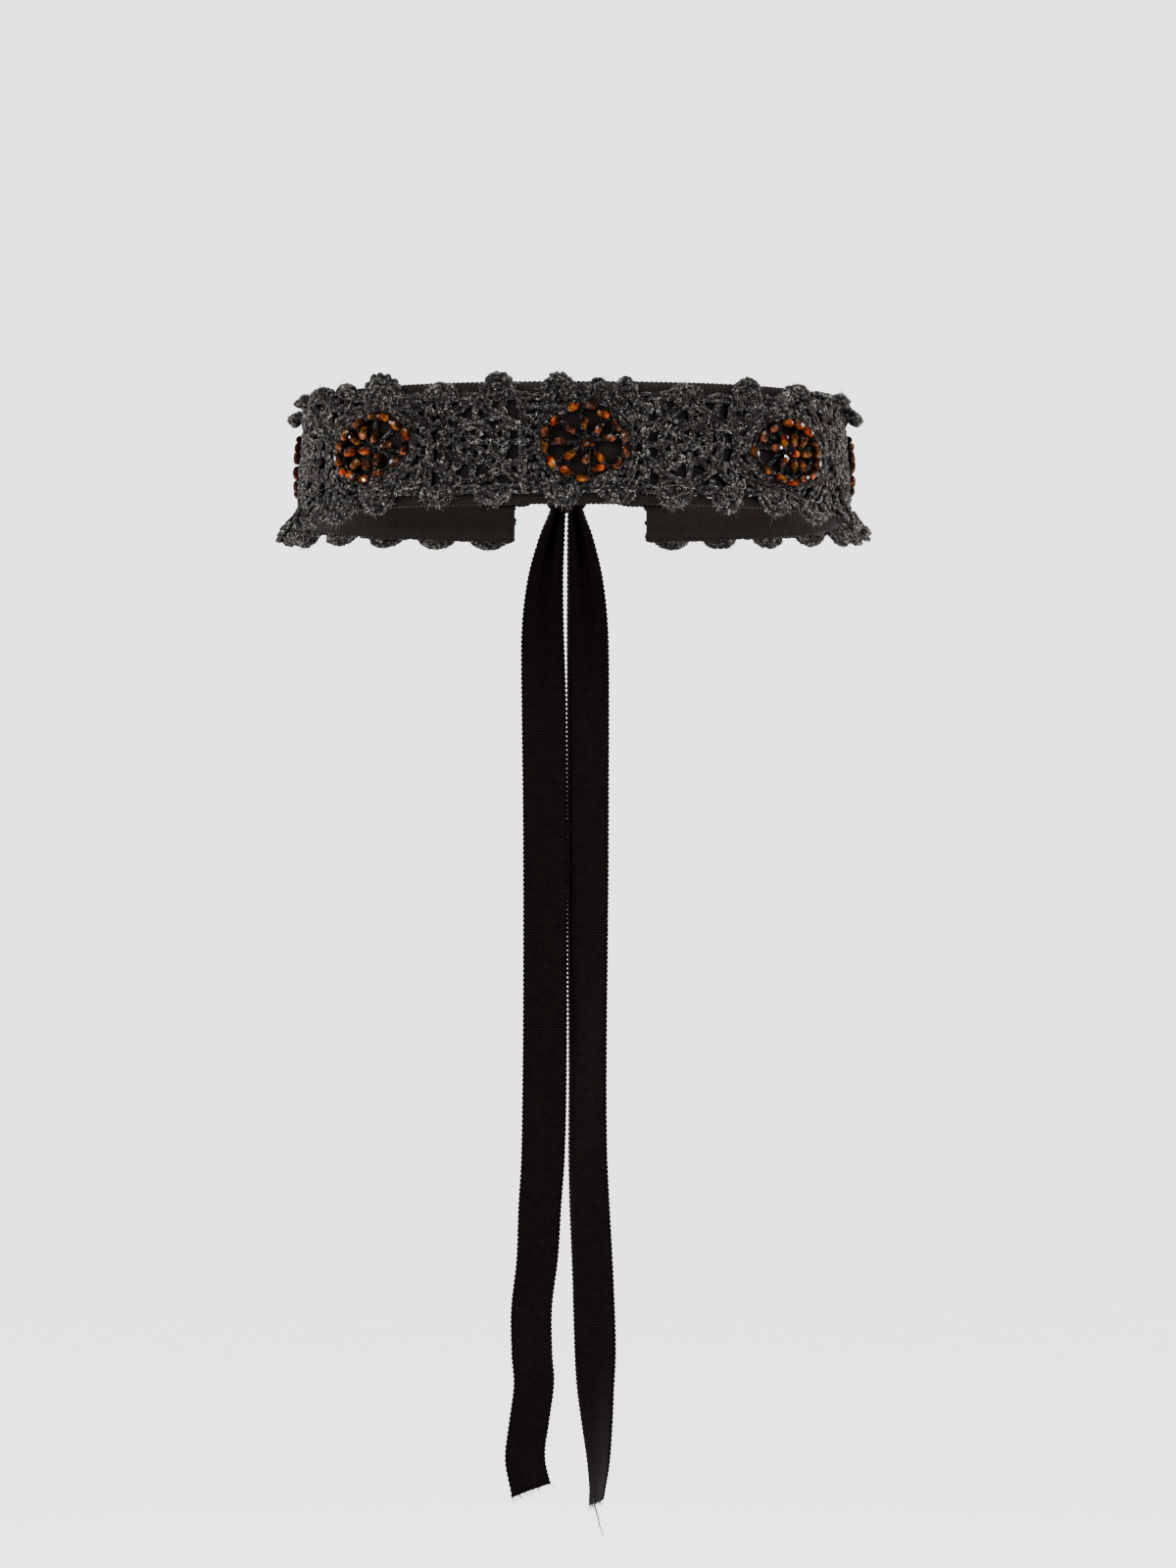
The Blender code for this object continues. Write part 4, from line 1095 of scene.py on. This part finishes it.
def worked_in(motif, flat):
    """A motif's flat points as the lace lies when worn: along the waist, up and out.

    Shells lean off the body. At the wearer's sides the lace is puffed, its borders reach
    the band's edges, its lower shells lean further, droop and roll, and its upper shells
    bend outwards, two of them right over.
    """
    middle = motif_middle(motif)
    left_half = (PITCH_RIGHT if motif > 0 else PITCH_LEFT) / 2.0
    right_half = (PITCH_LEFT if motif < 0 else PITCH_RIGHT) / 2.0
    x, y, out = flat[:, 0], flat[:, 1], flat[:, 2]
    along = middle + x * np.where(x > 0.0, right_half, left_half) / MOTIF_HALF
    side = sideways(along)
    past_front = np.clip((np.abs(along) - SIDE_RISE_FROM) / SIDE_RISE_OVER, 0.0, 1.0)
    off_border = np.abs(y) - LACE_EDGE
    fading = np.where(off_border < 0.0, -off_border / RISE_FADES_INWARDS, off_border / RISE_FADES_OUTWARDS)
    y = y + np.sign(y) * SIDE_RISE * past_front * np.clip(1.0 - fading, 0.0, 1.0)
    free_from = LACE_EDGE + SHELL_LEAN_FROM
    past = np.maximum(0.0, np.abs(y) - free_from) / SHELL_LEAN_OVER
    rolled = CHAIN_MIDDLE + (out - CHAIN_MIDDLE) * (1.0 + SIDE_ROLL * side * np.minimum(past, 1.0))
    puffed = BAND_WALL + (rolled - BAND_WALL) * (1.0 + SIDE_PUFF * side)
    lean = SHELL_LEAN + (SIDE_SHELL_LEAN - SHELL_LEAN) * side
    leant = past ** SHELL_LEAN_POWER
    lower = np.column_stack([along, y - SIDE_DROOP * side * past, puffed + lean * leant])
    fold_at, fold_from, fold_radius = FOLDED_SHELLS.get(motif, (math.inf, 0.0, 1.0))
    folded = np.abs(x - fold_at) < FOLD_HALF
    radius = np.where(folded, fold_radius, CURL_RADIUS / np.maximum(side, LEAST_CURL))
    free = np.maximum(0.0, np.abs(y) - np.where(folded, fold_from, free_from))
    bend = np.minimum(free / radius, FOLD_TURN)
    beyond = free - bend * radius
    thick = (out - CHAIN_LOW) * np.where(folded, 1.0, 1.0 + SIDE_PUFF * side)
    bent_up = radius * np.sin(bend) + beyond * np.cos(bend) - thick * np.sin(bend)
    bent_out = CHAIN_LOW + radius * (1.0 - np.cos(bend)) + beyond * np.sin(bend) + thick * np.cos(bend)
    bent_out = bent_out + SHELL_LEAN * (1.0 - side) * leant
    upper = np.column_stack([along, y - free + bent_up, bent_out])
    return np.where((y > 0.0)[:, None], upper, lower)


def worn(lying):
    """Places in metres of points along the waist, up and out."""
    return on_waist(lying[:, 0], lying[:, 1], lying[:, 2])


def curled(dice, root, aim, length, steps, curl):
    """A fibre's path from its root: a curve that keeps turning as it goes."""
    path = [np.array(root, dtype=float)]
    aim = np.array(aim, dtype=float)
    bend = np.array([dice.gauss(0.0, curl), dice.gauss(0.0, curl), dice.gauss(0.0, curl)])
    for _ in range(steps):
        aim = aim / max(float(np.linalg.norm(aim)), 1e-6)
        path.append(path[-1] + aim * length / steps)
        aim = aim + np.cross(bend, aim) + np.array([dice.gauss(0.0, curl * 0.4) for _ in range(3)])
    path = np.array(path)
    path[:, 2] = np.maximum(path[:, 2], BAND_WALL + FIBRE_OVER_BAND)
    return path


def halo_hairs(dice, runs):
    """Wool hairs that stand off the yarn, most of them outwards or off the shells."""
    found = []
    rims = [run for run in runs if np.abs(run[:, 1]).max() > LACE_EDGE + 4.0]
    for i in range(HALO_HAIRS):
        run = dice.choice(rims if i % 2 else runs)
        root = run[dice.randrange(len(run))]
        turn = dice.uniform(0.0, math.tau)
        aim = np.array([math.cos(turn), math.sin(turn), dice.uniform(0.1, 1.0)])
        if abs(root[1]) > LACE_EDGE:
            aim += np.array([0.0, math.copysign(1.0, root[1]), -0.3])
        aim /= np.linalg.norm(aim)
        length = dice.uniform(*HAIR_LENGTH) + LONG_HAIR * dice.random() ** 5
        path = curled(dice, root + aim * YARN * HAIR_ROOT, aim, length, len(HAIR_TAPER) - 1, HAIR_CURL)
        found.append((path, np.array(HAIR_TAPER) * dice.uniform(0.8, 1.3)))
    return found


def lying_fibres(dice, runs):
    """Pale curly fibres that lie on the yarn's outer side."""
    found = []
    for _ in range(LYING_FIBRES):
        run = dice.choice(runs)
        root = run[dice.randrange(len(run))]
        lean = dice.uniform(-1.0, 1.0)
        turn = dice.uniform(0.0, math.tau)
        off = YARN / 2.0 * np.array([math.cos(turn) * abs(lean), math.sin(turn) * abs(lean),
                                     math.sqrt(1.0 - lean * lean)])
        turn = dice.uniform(0.0, math.tau)
        aim = np.array([math.cos(turn), math.sin(turn), dice.uniform(-0.25, 0.15)])
        length = dice.uniform(*FIBRE_LENGTH)
        path = curled(dice, root + off * FIBRE_OFF, aim, length, len(FIBRE_TAPER) - 1, FIBRE_CURL)
        found.append((path, np.array(FIBRE_TAPER) * dice.uniform(0.7, 1.35)))
    return found


def crochet_motif(motif, materials):
    """One motif in yarn, in place of its flat solid, with its loose wool."""
    dice = random.Random(LACE_SEED + motif)
    runs, pads = motif_runs(motif, dice)
    lying = [worked_in(motif, run) for run in runs]
    number = motif + MOTIFS_EACH_SIDE + 1
    kind = "beaded" if motif % 2 == 0 else "plain"
    fullness = 1.0 + (SIDE_THICK - 1.0) * min(1.0, max(0.0, abs(motif) - 1.0) / 2.0)
    yarn = [(worn(run), fullness * thick_and_thin(dice, len(run))) for run in lying]
    for arc, girth in pads:
        yarn.append((worn(worked_in(motif, arc)), girth * thick_and_thin(dice, len(arc))))
    lace = strands(f"crochet_{number:02d}_{kind}", yarn, YARN, YARN_SIDES)
    roughen(lace, LACE_SEED + motif)
    settle(lace, materials["wool"])
    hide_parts(f"lace_{number:02d}_{kind}")
    hairs = [(worn(path), girths) for path, girths in halo_hairs(dice, lying)]
    halo = strands(f"wool_halo_{number:02d}", hairs, HAIR_WIDTH, HAIR_SIDES)
    settle(halo, materials["halo"])
    fibres = [(worn(path), girths) for path, girths in lying_fibres(dice, lying)]
    slubs = strands(f"wool_fibres_{number:02d}", fibres, FIBRE_WIDTH, HAIR_SIDES)
    settle(slubs, materials["fibres"])
    return [lace, halo, slubs]


# The ribbon band

def selvedge(place, across, depth):
    """How far the scallops of a ribbon's picot edges stand out or in."""
    pitch = RIBS_A_SCALLOP * RIB_PITCH
    scallops = depth * (np.abs(np.cos(math.pi * place / pitch)) - 0.5)
    return np.abs(across) ** SELVEDGE_SHARPNESS * scallops


def rib_wave(ribs, share):
    """How far a ribbon's weft ribs stand out or in."""
    return RIB_DEPTH / 2.0 * np.cos(math.tau * ribs * share)


def ribbon_band(materials):
    """The wide grosgrain band behind the lace."""
    start, stop = band_ends()
    ribs = round((stop - start) / RIB_PITCH)

    def placed(share, across):
        along = start + (stop - start) * share
        up = across * BAND_HEIGHT / 2.0 + np.sign(across) * selvedge(along, across, SCALLOP_DEPTH)
        out = BAND_WALL / 2.0 + rib_wave(ribs, share)
        out = out + BAND_RIPPLE * np.sin(along / BAND_RIPPLE_LENGTH + across * 2.0)
        return on_waist(along, up, out)

    band = woven_strip("ribbon_band", ribs, BAND_ROWS, placed, BAND_WALL - 2.0 * RIB_DEPTH)
    settle(band, materials["band"])
    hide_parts("backing_ribbon")
    return band


# Beads

def glass_bead():
    """One faceted oval bead along X at the origin, with its thread hole: points and faces."""
    verts = []
    faces = []
    for ring, (place, share) in enumerate(BEAD_PROFILE):
        for side in range(BEAD_SIDES):
            turn = math.tau * (side + 0.5 * (ring % 2)) / BEAD_SIDES
            radius = share * BEAD_WIDE / 2.0
            verts.append((place * BEAD_LONG, radius * math.cos(turn), radius * math.sin(turn)))
    rings = len(BEAD_PROFILE)
    for ring in range(rings - 1):
        for side in range(BEAD_SIDES):
            a, b = ring * BEAD_SIDES + side, ring * BEAD_SIDES + (side + 1) % BEAD_SIDES
            c, d = a + BEAD_SIDES, b + BEAD_SIDES
            if ring % 2 == 0:
                faces += [(a, c, b), (b, c, d)]
            else:
                faces += [(a, d, b), (a, c, d)]
    for ring, end in ((0, -1.0), (rings - 1, 1.0)):
        middle = len(verts)
        verts.append((end * (0.5 - BEAD_HOLE) * BEAD_LONG, 0.0, 0.0))
        for side in range(BEAD_SIDES):
            a, b = ring * BEAD_SIDES + side, ring * BEAD_SIDES + (side + 1) % BEAD_SIDES
            faces.append((a, b, middle) if end < 0.0 else (b, a, middle))
    return np.array(verts), faces


def rosette_beads(motif, half_width, half_height, turned, dice):
    """Where a rosette's beads lie: along, up, and the way that each points in radians."""
    if motif in PLACED_BEADS:
        ring, inner = PLACED_BEADS[motif]
        ring = [(x, y, math.atan2(half_height ** 2 * x, -half_width ** 2 * y)) for x, y in ring]
        inner = [(x, y, math.radians(way)) for x, y, way in inner]
        return ring, inner
    ring = []
    inner = []
    for i in range(RING_BEADS):
        turn = math.radians(turned) + math.tau * i / RING_BEADS + dice.gauss(0.0, 0.03)
        x, y = on_oval((half_width, half_height), turn)
        way = math.atan2(half_height * math.cos(turn), -half_width * math.sin(turn))
        ring.append((x + dice.gauss(0.0, 0.35), y + dice.gauss(0.0, 0.35), way + dice.gauss(0.0, 0.14)))
    for i in range(SPOKE_BEADS):
        turn = math.radians(turned) + math.tau * (i + 0.5) / SPOKE_BEADS + dice.gauss(0.0, 0.06)
        share = RADIAL_BEAD_PLACE * dice.uniform(0.94, 1.1)
        x, y = on_oval((share * half_width, share * half_height), turn)
        inner.append((x, y, math.atan2(y, x) + dice.gauss(0.0, 0.15)))
    inner.append((dice.gauss(0.0, 0.4), dice.gauss(0.0, 0.4), math.radians(turned)))
    return ring, inner


def bead_looks(dice, shape, flat, middle, facets):
    """One bead's brown from end to end, its painted glow, and each facet's painted brightness and painted
    glint.
    """
    tint = dice.uniform(0.05, 0.9) + dice.uniform(-0.9, 0.9) * shape[:, 0] / BEAD_LONG
    # Painted light: the glow is painted on one side, mostly the lower, and where the bead faces out; its
    # rim stays dark, painted shade
    toward = -math.pi / 2.0 + dice.gauss(0.0, 1.1)
    off = flat[:, :2] - middle
    painted_light = (off[:, 0] * math.cos(toward) + off[:, 1] * math.sin(toward)) / BEAD_WIDE
    painted_facing_glow = np.clip((flat[:, 2] - BEAD_OUT) / BEAD_WIDE * 2.0, 0.0, 1.0)
    painted_glow = PAINTED_GLOW_LEAST + PAINTED_GLOW_FACING * painted_facing_glow + PAINTED_GLOW_LIT * np.maximum(painted_light, -0.3)
    painted_glow = painted_glow + wobble(dice, len(flat), PAINTED_GLOW_UNEVEN)
    looks = {"tint": np.clip(tint, 0.0, 1.0), "painted_glow": np.clip(painted_glow, 0.03, 1.0), "painted_facet_light": [], "painted_glint": []}
    # Each facet gets a painted brightness at random, as light reflected inside the glass, and a few a
    # painted glint
    for _ in range(facets):
        chance = dice.random()
        painted_sparkle = PAINTED_SPARKLE_MIX if chance < PAINTED_SPARKLE_FACETS else 0.0
        looks["painted_glint"].append(1.0 if chance < PAINTED_GLINT_FACETS else painted_sparkle)
        looks["painted_facet_light"].append(dice.uniform(-0.12, 0.22))
    return looks


def rosette_thread(number, ring, inner, placed, materials):
    """The fine thread that joins a rosette's beads."""
    threads = []
    loop = ring + ring[:1]
    for (ax, ay, _), (bx, by, _) in zip(loop, loop[1:]):
        sagging = ((ax + bx) / 2.0, (ay + by) / 2.0, BEAD_OUT - THREAD_SAG)
        threads.append(np.array([(ax, ay, BEAD_OUT), sagging, (bx, by, BEAD_OUT)]))
    for x, y, _ in inner[:-1]:
        near = min(ring, key=lambda bead: math.hypot(bead[0] - x, bead[1] - y))
        threads.append(np.array([
            (0.15 * x, 0.15 * y, BEAD_OUT - 0.5), (x, y, BEAD_OUT), (near[0], near[1], BEAD_OUT - 0.4),
        ]))
    runs = [(placed(path), np.ones(len(path))) for path in threads]
    thread = strands(f"bead_thread_{number}", runs, THREAD, THREAD_SIDES)
    settle(thread, materials["thread"])
    return thread


def bead_rosette(number, row, materials):
    """A ring of glass beads with inner beads, all on one thread, sewn on the lace.

    The beads' colours are kept on the mesh: tint and painted glow for each point, painted
    facet brightness and painted glint for each face.
    """
    motif, half_width, half_height, turned = row
    dice = random.Random(BEAD_SEED + number)
    ring, inner = rosette_beads(motif, half_width, half_height, turned, dice)
    shape, shape_faces = glass_bead()
    middle = motif_middle(motif)

    def placed(flat):
        along = middle + flat[:, 0]
        return on_waist(along, flat[:, 1], flat[:, 2] + SIDE_BEADS_LIFT * sideways(along))

    verts = []
    faces = []
    looks = {"tint": [], "painted_glow": [], "painted_facet_light": [], "painted_glint": []}
    for x, y, way in ring + inner:
        size = dice.uniform(0.93, 1.04)
        roll = dice.uniform(0.0, math.tau)
        tip = dice.gauss(0.0, 0.12)
        turned_bead = np.column_stack([shape[:, 0], *rotated(shape[:, 1], shape[:, 2], roll)]) * size
        turned_bead[:, 2] += turned_bead[:, 0] * tip
        aside, up = rotated(turned_bead[:, 0], turned_bead[:, 1], way)
        flat = np.column_stack([x + aside, y + up, turned_bead[:, 2] + BEAD_OUT])
        for name, amounts in bead_looks(dice, shape, flat, (x, y), len(shape_faces)).items():
            looks[name] += list(amounts)
        faces += [tuple(len(verts) + i for i in face) for face in shape_faces]
        verts += [tuple(p) for p in placed(flat)]
    mesh = bpy.data.meshes.new(f"glass_beads_{number}")
    mesh.from_pydata(verts, [], faces)
    for name, amounts in looks.items():
        kept = mesh.attributes.new(name, "FLOAT", "POINT" if name in ("tint", "painted_glow") else "FACE")
        kept.data.foreach_set("value", amounts)
    beads = set_down(f"glass_beads_{number}", mesh)
    with all_selected_in(beads):
        bpy.ops.mesh.normals_make_consistent(inside=False)
    settle(beads, materials["glass"], smooth=False)
    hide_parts(f"bead_rosette_{number}")
    return [beads, rosette_thread(number, ring, inner, placed, materials)]


# The ties

def knot_along():
    """The knot's place along the waist."""
    spot = int(np.argmin(np.abs(WAIST_X - KNOT_X) + np.where(WAIST_Y > 0.0, 0.0, 1e6)))
    return float(WAIST_ALONG[spot])


def pleated(across, spread):
    """How deep a gathered ribbon folds, so that it keeps its full width of cloth."""
    squeeze = np.sqrt(np.maximum(0.0, 1.0 - spread * spread))
    depth = TIE_WIDTH / 2.0 * squeeze / (PLEATS * math.pi * PLEAT_STEEPNESS)
    return depth * np.cos(PLEATS * math.pi * across)


def tie_tail(name, node, rows, materials):
    """One tail, falling from the knot over the hips and then straight down."""
    table = np.array(rows, dtype=float)
    heights = -table[:, 0]
    length = heights[-1] - heights[0]
    ribs = round(length / RIB_PITCH)

    def placed(share, across):
        drop = heights[0] + length * share + TIE_CUT * across * share ** TIE_CUT_SHARPNESS
        row = smooth_table(heights, table[:, 1:], drop)
        middle_x, behind, spread, turn, cup = row.T
        angle = np.radians(turn)
        half = TIE_WIDTH / 2.0 * spread + selvedge(length * share, across, TIE_SCALLOP_DEPTH)
        face = cup * (1.0 - np.abs(across) ** 1.5) + pleated(across, np.minimum(spread, 1.0))
        face = face + rib_wave(ribs, share)
        ripple = TAIL_RIPPLE * np.sin(length * share / TAIL_RIPPLE_LENGTH + across * 1.4)
        face = face + ripple * np.minimum(1.0, share * 8.0)
        x = middle_x + np.cos(angle) * half * across - np.sin(angle) * face
        y = behind + np.sin(angle) * half * across + np.cos(angle) * face
        return np.column_stack([x, y, -drop]) * MM

    tail = woven_strip(name, ribs, TAIL_ROWS, placed, TIE_WALL - 2.0 * RIB_DEPTH)
    settle(tail, materials["tie"])
    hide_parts(node)
    return tail


def tie_lead(name, node, side, materials):
    """The stretch of a tie from inside the band's end to the knot."""
    start, stop = band_ends()
    end = stop if side > 0 else start
    knot = knot_along()
    if (knot - end) * side < 0.0:
        knot += side * 2.0 * HALF_GIRTH
    reach = abs(knot - end) - KNOT_REACH
    rows = [(-TIE_OVERLAP, 1.0, LEAD_OUT), (-TIE_OVERLAP / 2.0, 1.0, LEAD_OUT)]
    rows += [(share * reach, spread, out) for share, spread, out in LEAD]
    table = np.array(rows)
    length = table[-1, 0] - table[0, 0]
    ribs = round(length / RIB_PITCH)

    def placed(share, across):
        place = table[0, 0] + length * share
        spread, out = smooth_table(table[:, 0], table[:, 1:], place).T
        up = TIE_WIDTH / 2.0 * spread * across - KNOT_DROP * np.maximum(0.0, place) / reach
        up = up + np.sign(across) * selvedge(place, across, TIE_SCALLOP_DEPTH)
        out = out + LEAD_PLEATING * pleated(across, np.minimum(spread, 1.0)) + rib_wave(ribs, share)
        return on_waist(end + side * place, up, out)

    lead = woven_strip(name, ribs, LEAD_ROWS, placed, TIE_WALL - 2.0 * RIB_DEPTH)
    settle(lead, materials["tie"])
    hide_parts(node)
    return lead


def tie_knot(materials):
    """The knot: two rolled shoulders with a wrap over the middle."""
    middle = knot_along()

    def on_ring(across, turn, size, swell, rib, crease=1.0):
        up = -KNOT_DROP + (size[0] * swell + rib) * crease * np.sin(turn)
        out = KNOT_OUT + (size[1] * swell + rib) * crease * np.cos(turn)
        return on_waist(middle - across, up, out)

    def shoulder(side):
        def placed(share, across):
            turn = math.pi * across
            swell = np.sin(math.pi * (0.18 + 0.72 * share))
            crease = 1.0 + 0.09 * np.cos(5.0 * turn + 2.2 * share)
            crease = crease + 0.05 * np.cos(3.0 * turn - 3.0 * share)
            rib = 0.06 * np.cos(math.tau * SHOULDER_RIBS * share)
            reach = side * (SHOULDER_FROM + SHOULDER_LENGTH * share)
            return on_ring(reach, turn, SHOULDER_SIZE, swell, rib, crease)
        return placed

    def wrap(share, across):
        turn = math.tau * (share - 0.5)
        bulge = 1.0 - 0.16 * across ** 2 + 0.035 * np.cos(3.0 * math.pi * across + 1.5 * np.sin(turn))
        rib = 0.05 * np.cos(math.tau * WRAP_RIBS * share)
        return on_ring(WRAP_HALF * across + 0.5 * np.sin(turn), turn, WRAP_SIZE, bulge, rib)

    parts = [
        woven_strip("knot_shoulder_left", SHOULDER_RIBS, SHOULDER_ROWS, shoulder(-1.0), KNOT_WALL),
        woven_strip("knot_shoulder_right", SHOULDER_RIBS, SHOULDER_ROWS, shoulder(1.0), KNOT_WALL),
        woven_strip("knot_wrap", WRAP_RIBS, WRAP_ROWS, wrap, KNOT_WALL),
    ]
    take(parts[0])
    for part in parts[1:]:
        part.select_set(True)
    bpy.ops.object.join()
    knot = bpy.context.object
    knot.name = "ribbon_knot"
    settle(knot, materials["tie"])
    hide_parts("tie_knot")
    return knot


# Sewing and loose ends

def tacking(materials):
    """Small hand stitches on the band's inner face that hold the lace, and the ties' sewing."""
    dice = random.Random(STITCH_SEED)
    start, stop = band_ends()
    runs = []
    for up in STITCH_ROWS:
        for place in np.arange(start + STITCH_PITCH / 2.0, stop - 3.0, STITCH_PITCH):
            along = place + dice.gauss(0.0, 0.5) + np.linspace(-STITCH_HALF, STITCH_HALF, 4)
            runs.append(on_waist(along, up + wobble(dice, 4, 0.2), np.array(STITCH_LIFT)))
    for end, side in ((start, 1.0), (stop, -1.0)):
        for place in TIE_STITCH_PLACES:
            up = place + np.linspace(-TIE_STITCH_HALF, TIE_STITCH_HALF, 4)
            for row in TIE_STITCH_ROWS:
                along = end + side * row + wobble(dice, 4, 0.1)
                runs.append(on_waist(along, up, np.array(TIE_STITCH_LIFT)))
    runs = [(run, np.ones(4)) for run in runs]
    stitches = strands("tacking_stitches", runs, STITCH_WIDTH, STITCH_SIDES)
    settle(stitches, materials["sewing"])
    return stitches


def loose_ends(materials):
    """The threads that fray from the tails' cut ends, and the long one on the right."""
    dice = random.Random(FRAY_SEED)
    runs = [(np.array(LONG_THREAD) * MM, np.array(LONG_THREAD_GIRTHS))]
    for rows in (TAIL_LEFT, TAIL_RIGHT):
        height, middle_x, behind, _, turn, _ = rows[-1]
        cos, sin = math.cos(math.radians(turn)), math.sin(math.radians(turn))
        for _ in range(FRAYS):
            across = dice.uniform(-0.98, 0.98)
            half = TIE_WIDTH / 2.0 * across
            top = np.array([middle_x + cos * half, behind + sin * half, height - TIE_CUT * across + 0.8])
            aim = np.array([dice.gauss(0.0, 0.35), dice.gauss(0.0, 0.25), -1.0])
            step = dice.uniform(0.6, 1.3)
            path = [top]
            for _ in FRAY_TAPER[1:]:
                path.append(path[-1] + aim * step)
                aim = aim + np.array([dice.gauss(0.0, 0.4), dice.gauss(0.0, 0.3), 0.0])
            runs.append((np.array(path) * MM, np.array(FRAY_TAPER)))
    end = strands("frayed_thread", runs, FRAY_WIDTH, THREAD_SIDES)
    settle(end, materials["sewing"])
    return end


def yarn_curls(materials):
    """Stray curls of wool that have worked loose: each widens as it turns."""
    dice = random.Random(CURL_SEED)
    share = np.linspace(0.0, 1.0, CURL_POINTS)
    out = CHAIN_HIGH + YARN / 2.0 + 0.5 * np.sin(share * math.tau)
    runs = []
    for motif, along, up, size, turn in LOOSE_CURLS:
        angle = math.radians(turn) + share * CURL_TURNS * math.tau
        radius = size * (0.4 + 0.6 * share)
        x = along + radius * np.cos(angle) + wobble(dice, CURL_POINTS, 0.12)
        y = up + 0.8 * radius * np.sin(angle) + wobble(dice, CURL_POINTS, 0.12)
        runs.append((worn(worked_in(motif, np.column_stack([x, y, out]))), np.ones(CURL_POINTS)))
    curls = strands("loose_wool_curls", runs, CURL_WIDTH, CURL_SIDES)
    settle(curls, materials["halo"])
    return curls


def main():
    """Build the whole scene: studio, lace, beads, sewing, band and ties."""
    set_camera()
    set_floor()
    set_light()
    materials = {
        "wool": tweed_wool(),
        "halo": loose_wool("wool_halo_fibre", "#67635f", "#1f1d1c"),
        "fibres": loose_wool("wool_nep_fibre", "#96938e", "#2c2927"),
        # Each grosgrain's first colour is its crests', lightened as a painted highlight, the second its
        # grooves', black as painted shade
        "band": grosgrain("band_grosgrain", "#150e0b", "#000000", 0.8),
        "tie": grosgrain("tie_grosgrain", "#0c0707", "#000000", 0.12),
        "glass": amber_glass(),
        "thread": plain_thread("waxed_bead_thread", "#161616", 0.5),
        "sewing": plain_thread("black_sewing_thread", "#0e0b0a", 0.6),
    }
    pieces = []
    for motif in range(-MOTIFS_EACH_SIDE, MOTIFS_EACH_SIDE + 1):
        pieces += crochet_motif(motif, materials)
    for number, row in enumerate(ROSETTES, start=1):
        pieces += bead_rosette(number, row, materials)
    pieces.append(tacking(materials))
    pieces.append(yarn_curls(materials))
    ribbon_band(materials)
    tie_lead("ribbon_lead_left", "tie_lead_left", -1, materials)
    tie_lead("ribbon_lead_right", "tie_lead_right", 1, materials)
    tie_knot(materials)
    tie_tail("ribbon_tail_left", "tie_tail_left", TAIL_LEFT, materials)
    tie_tail("ribbon_tail_right", "tie_tail_right", TAIL_RIGHT, materials)
    loose_ends(materials)


main()
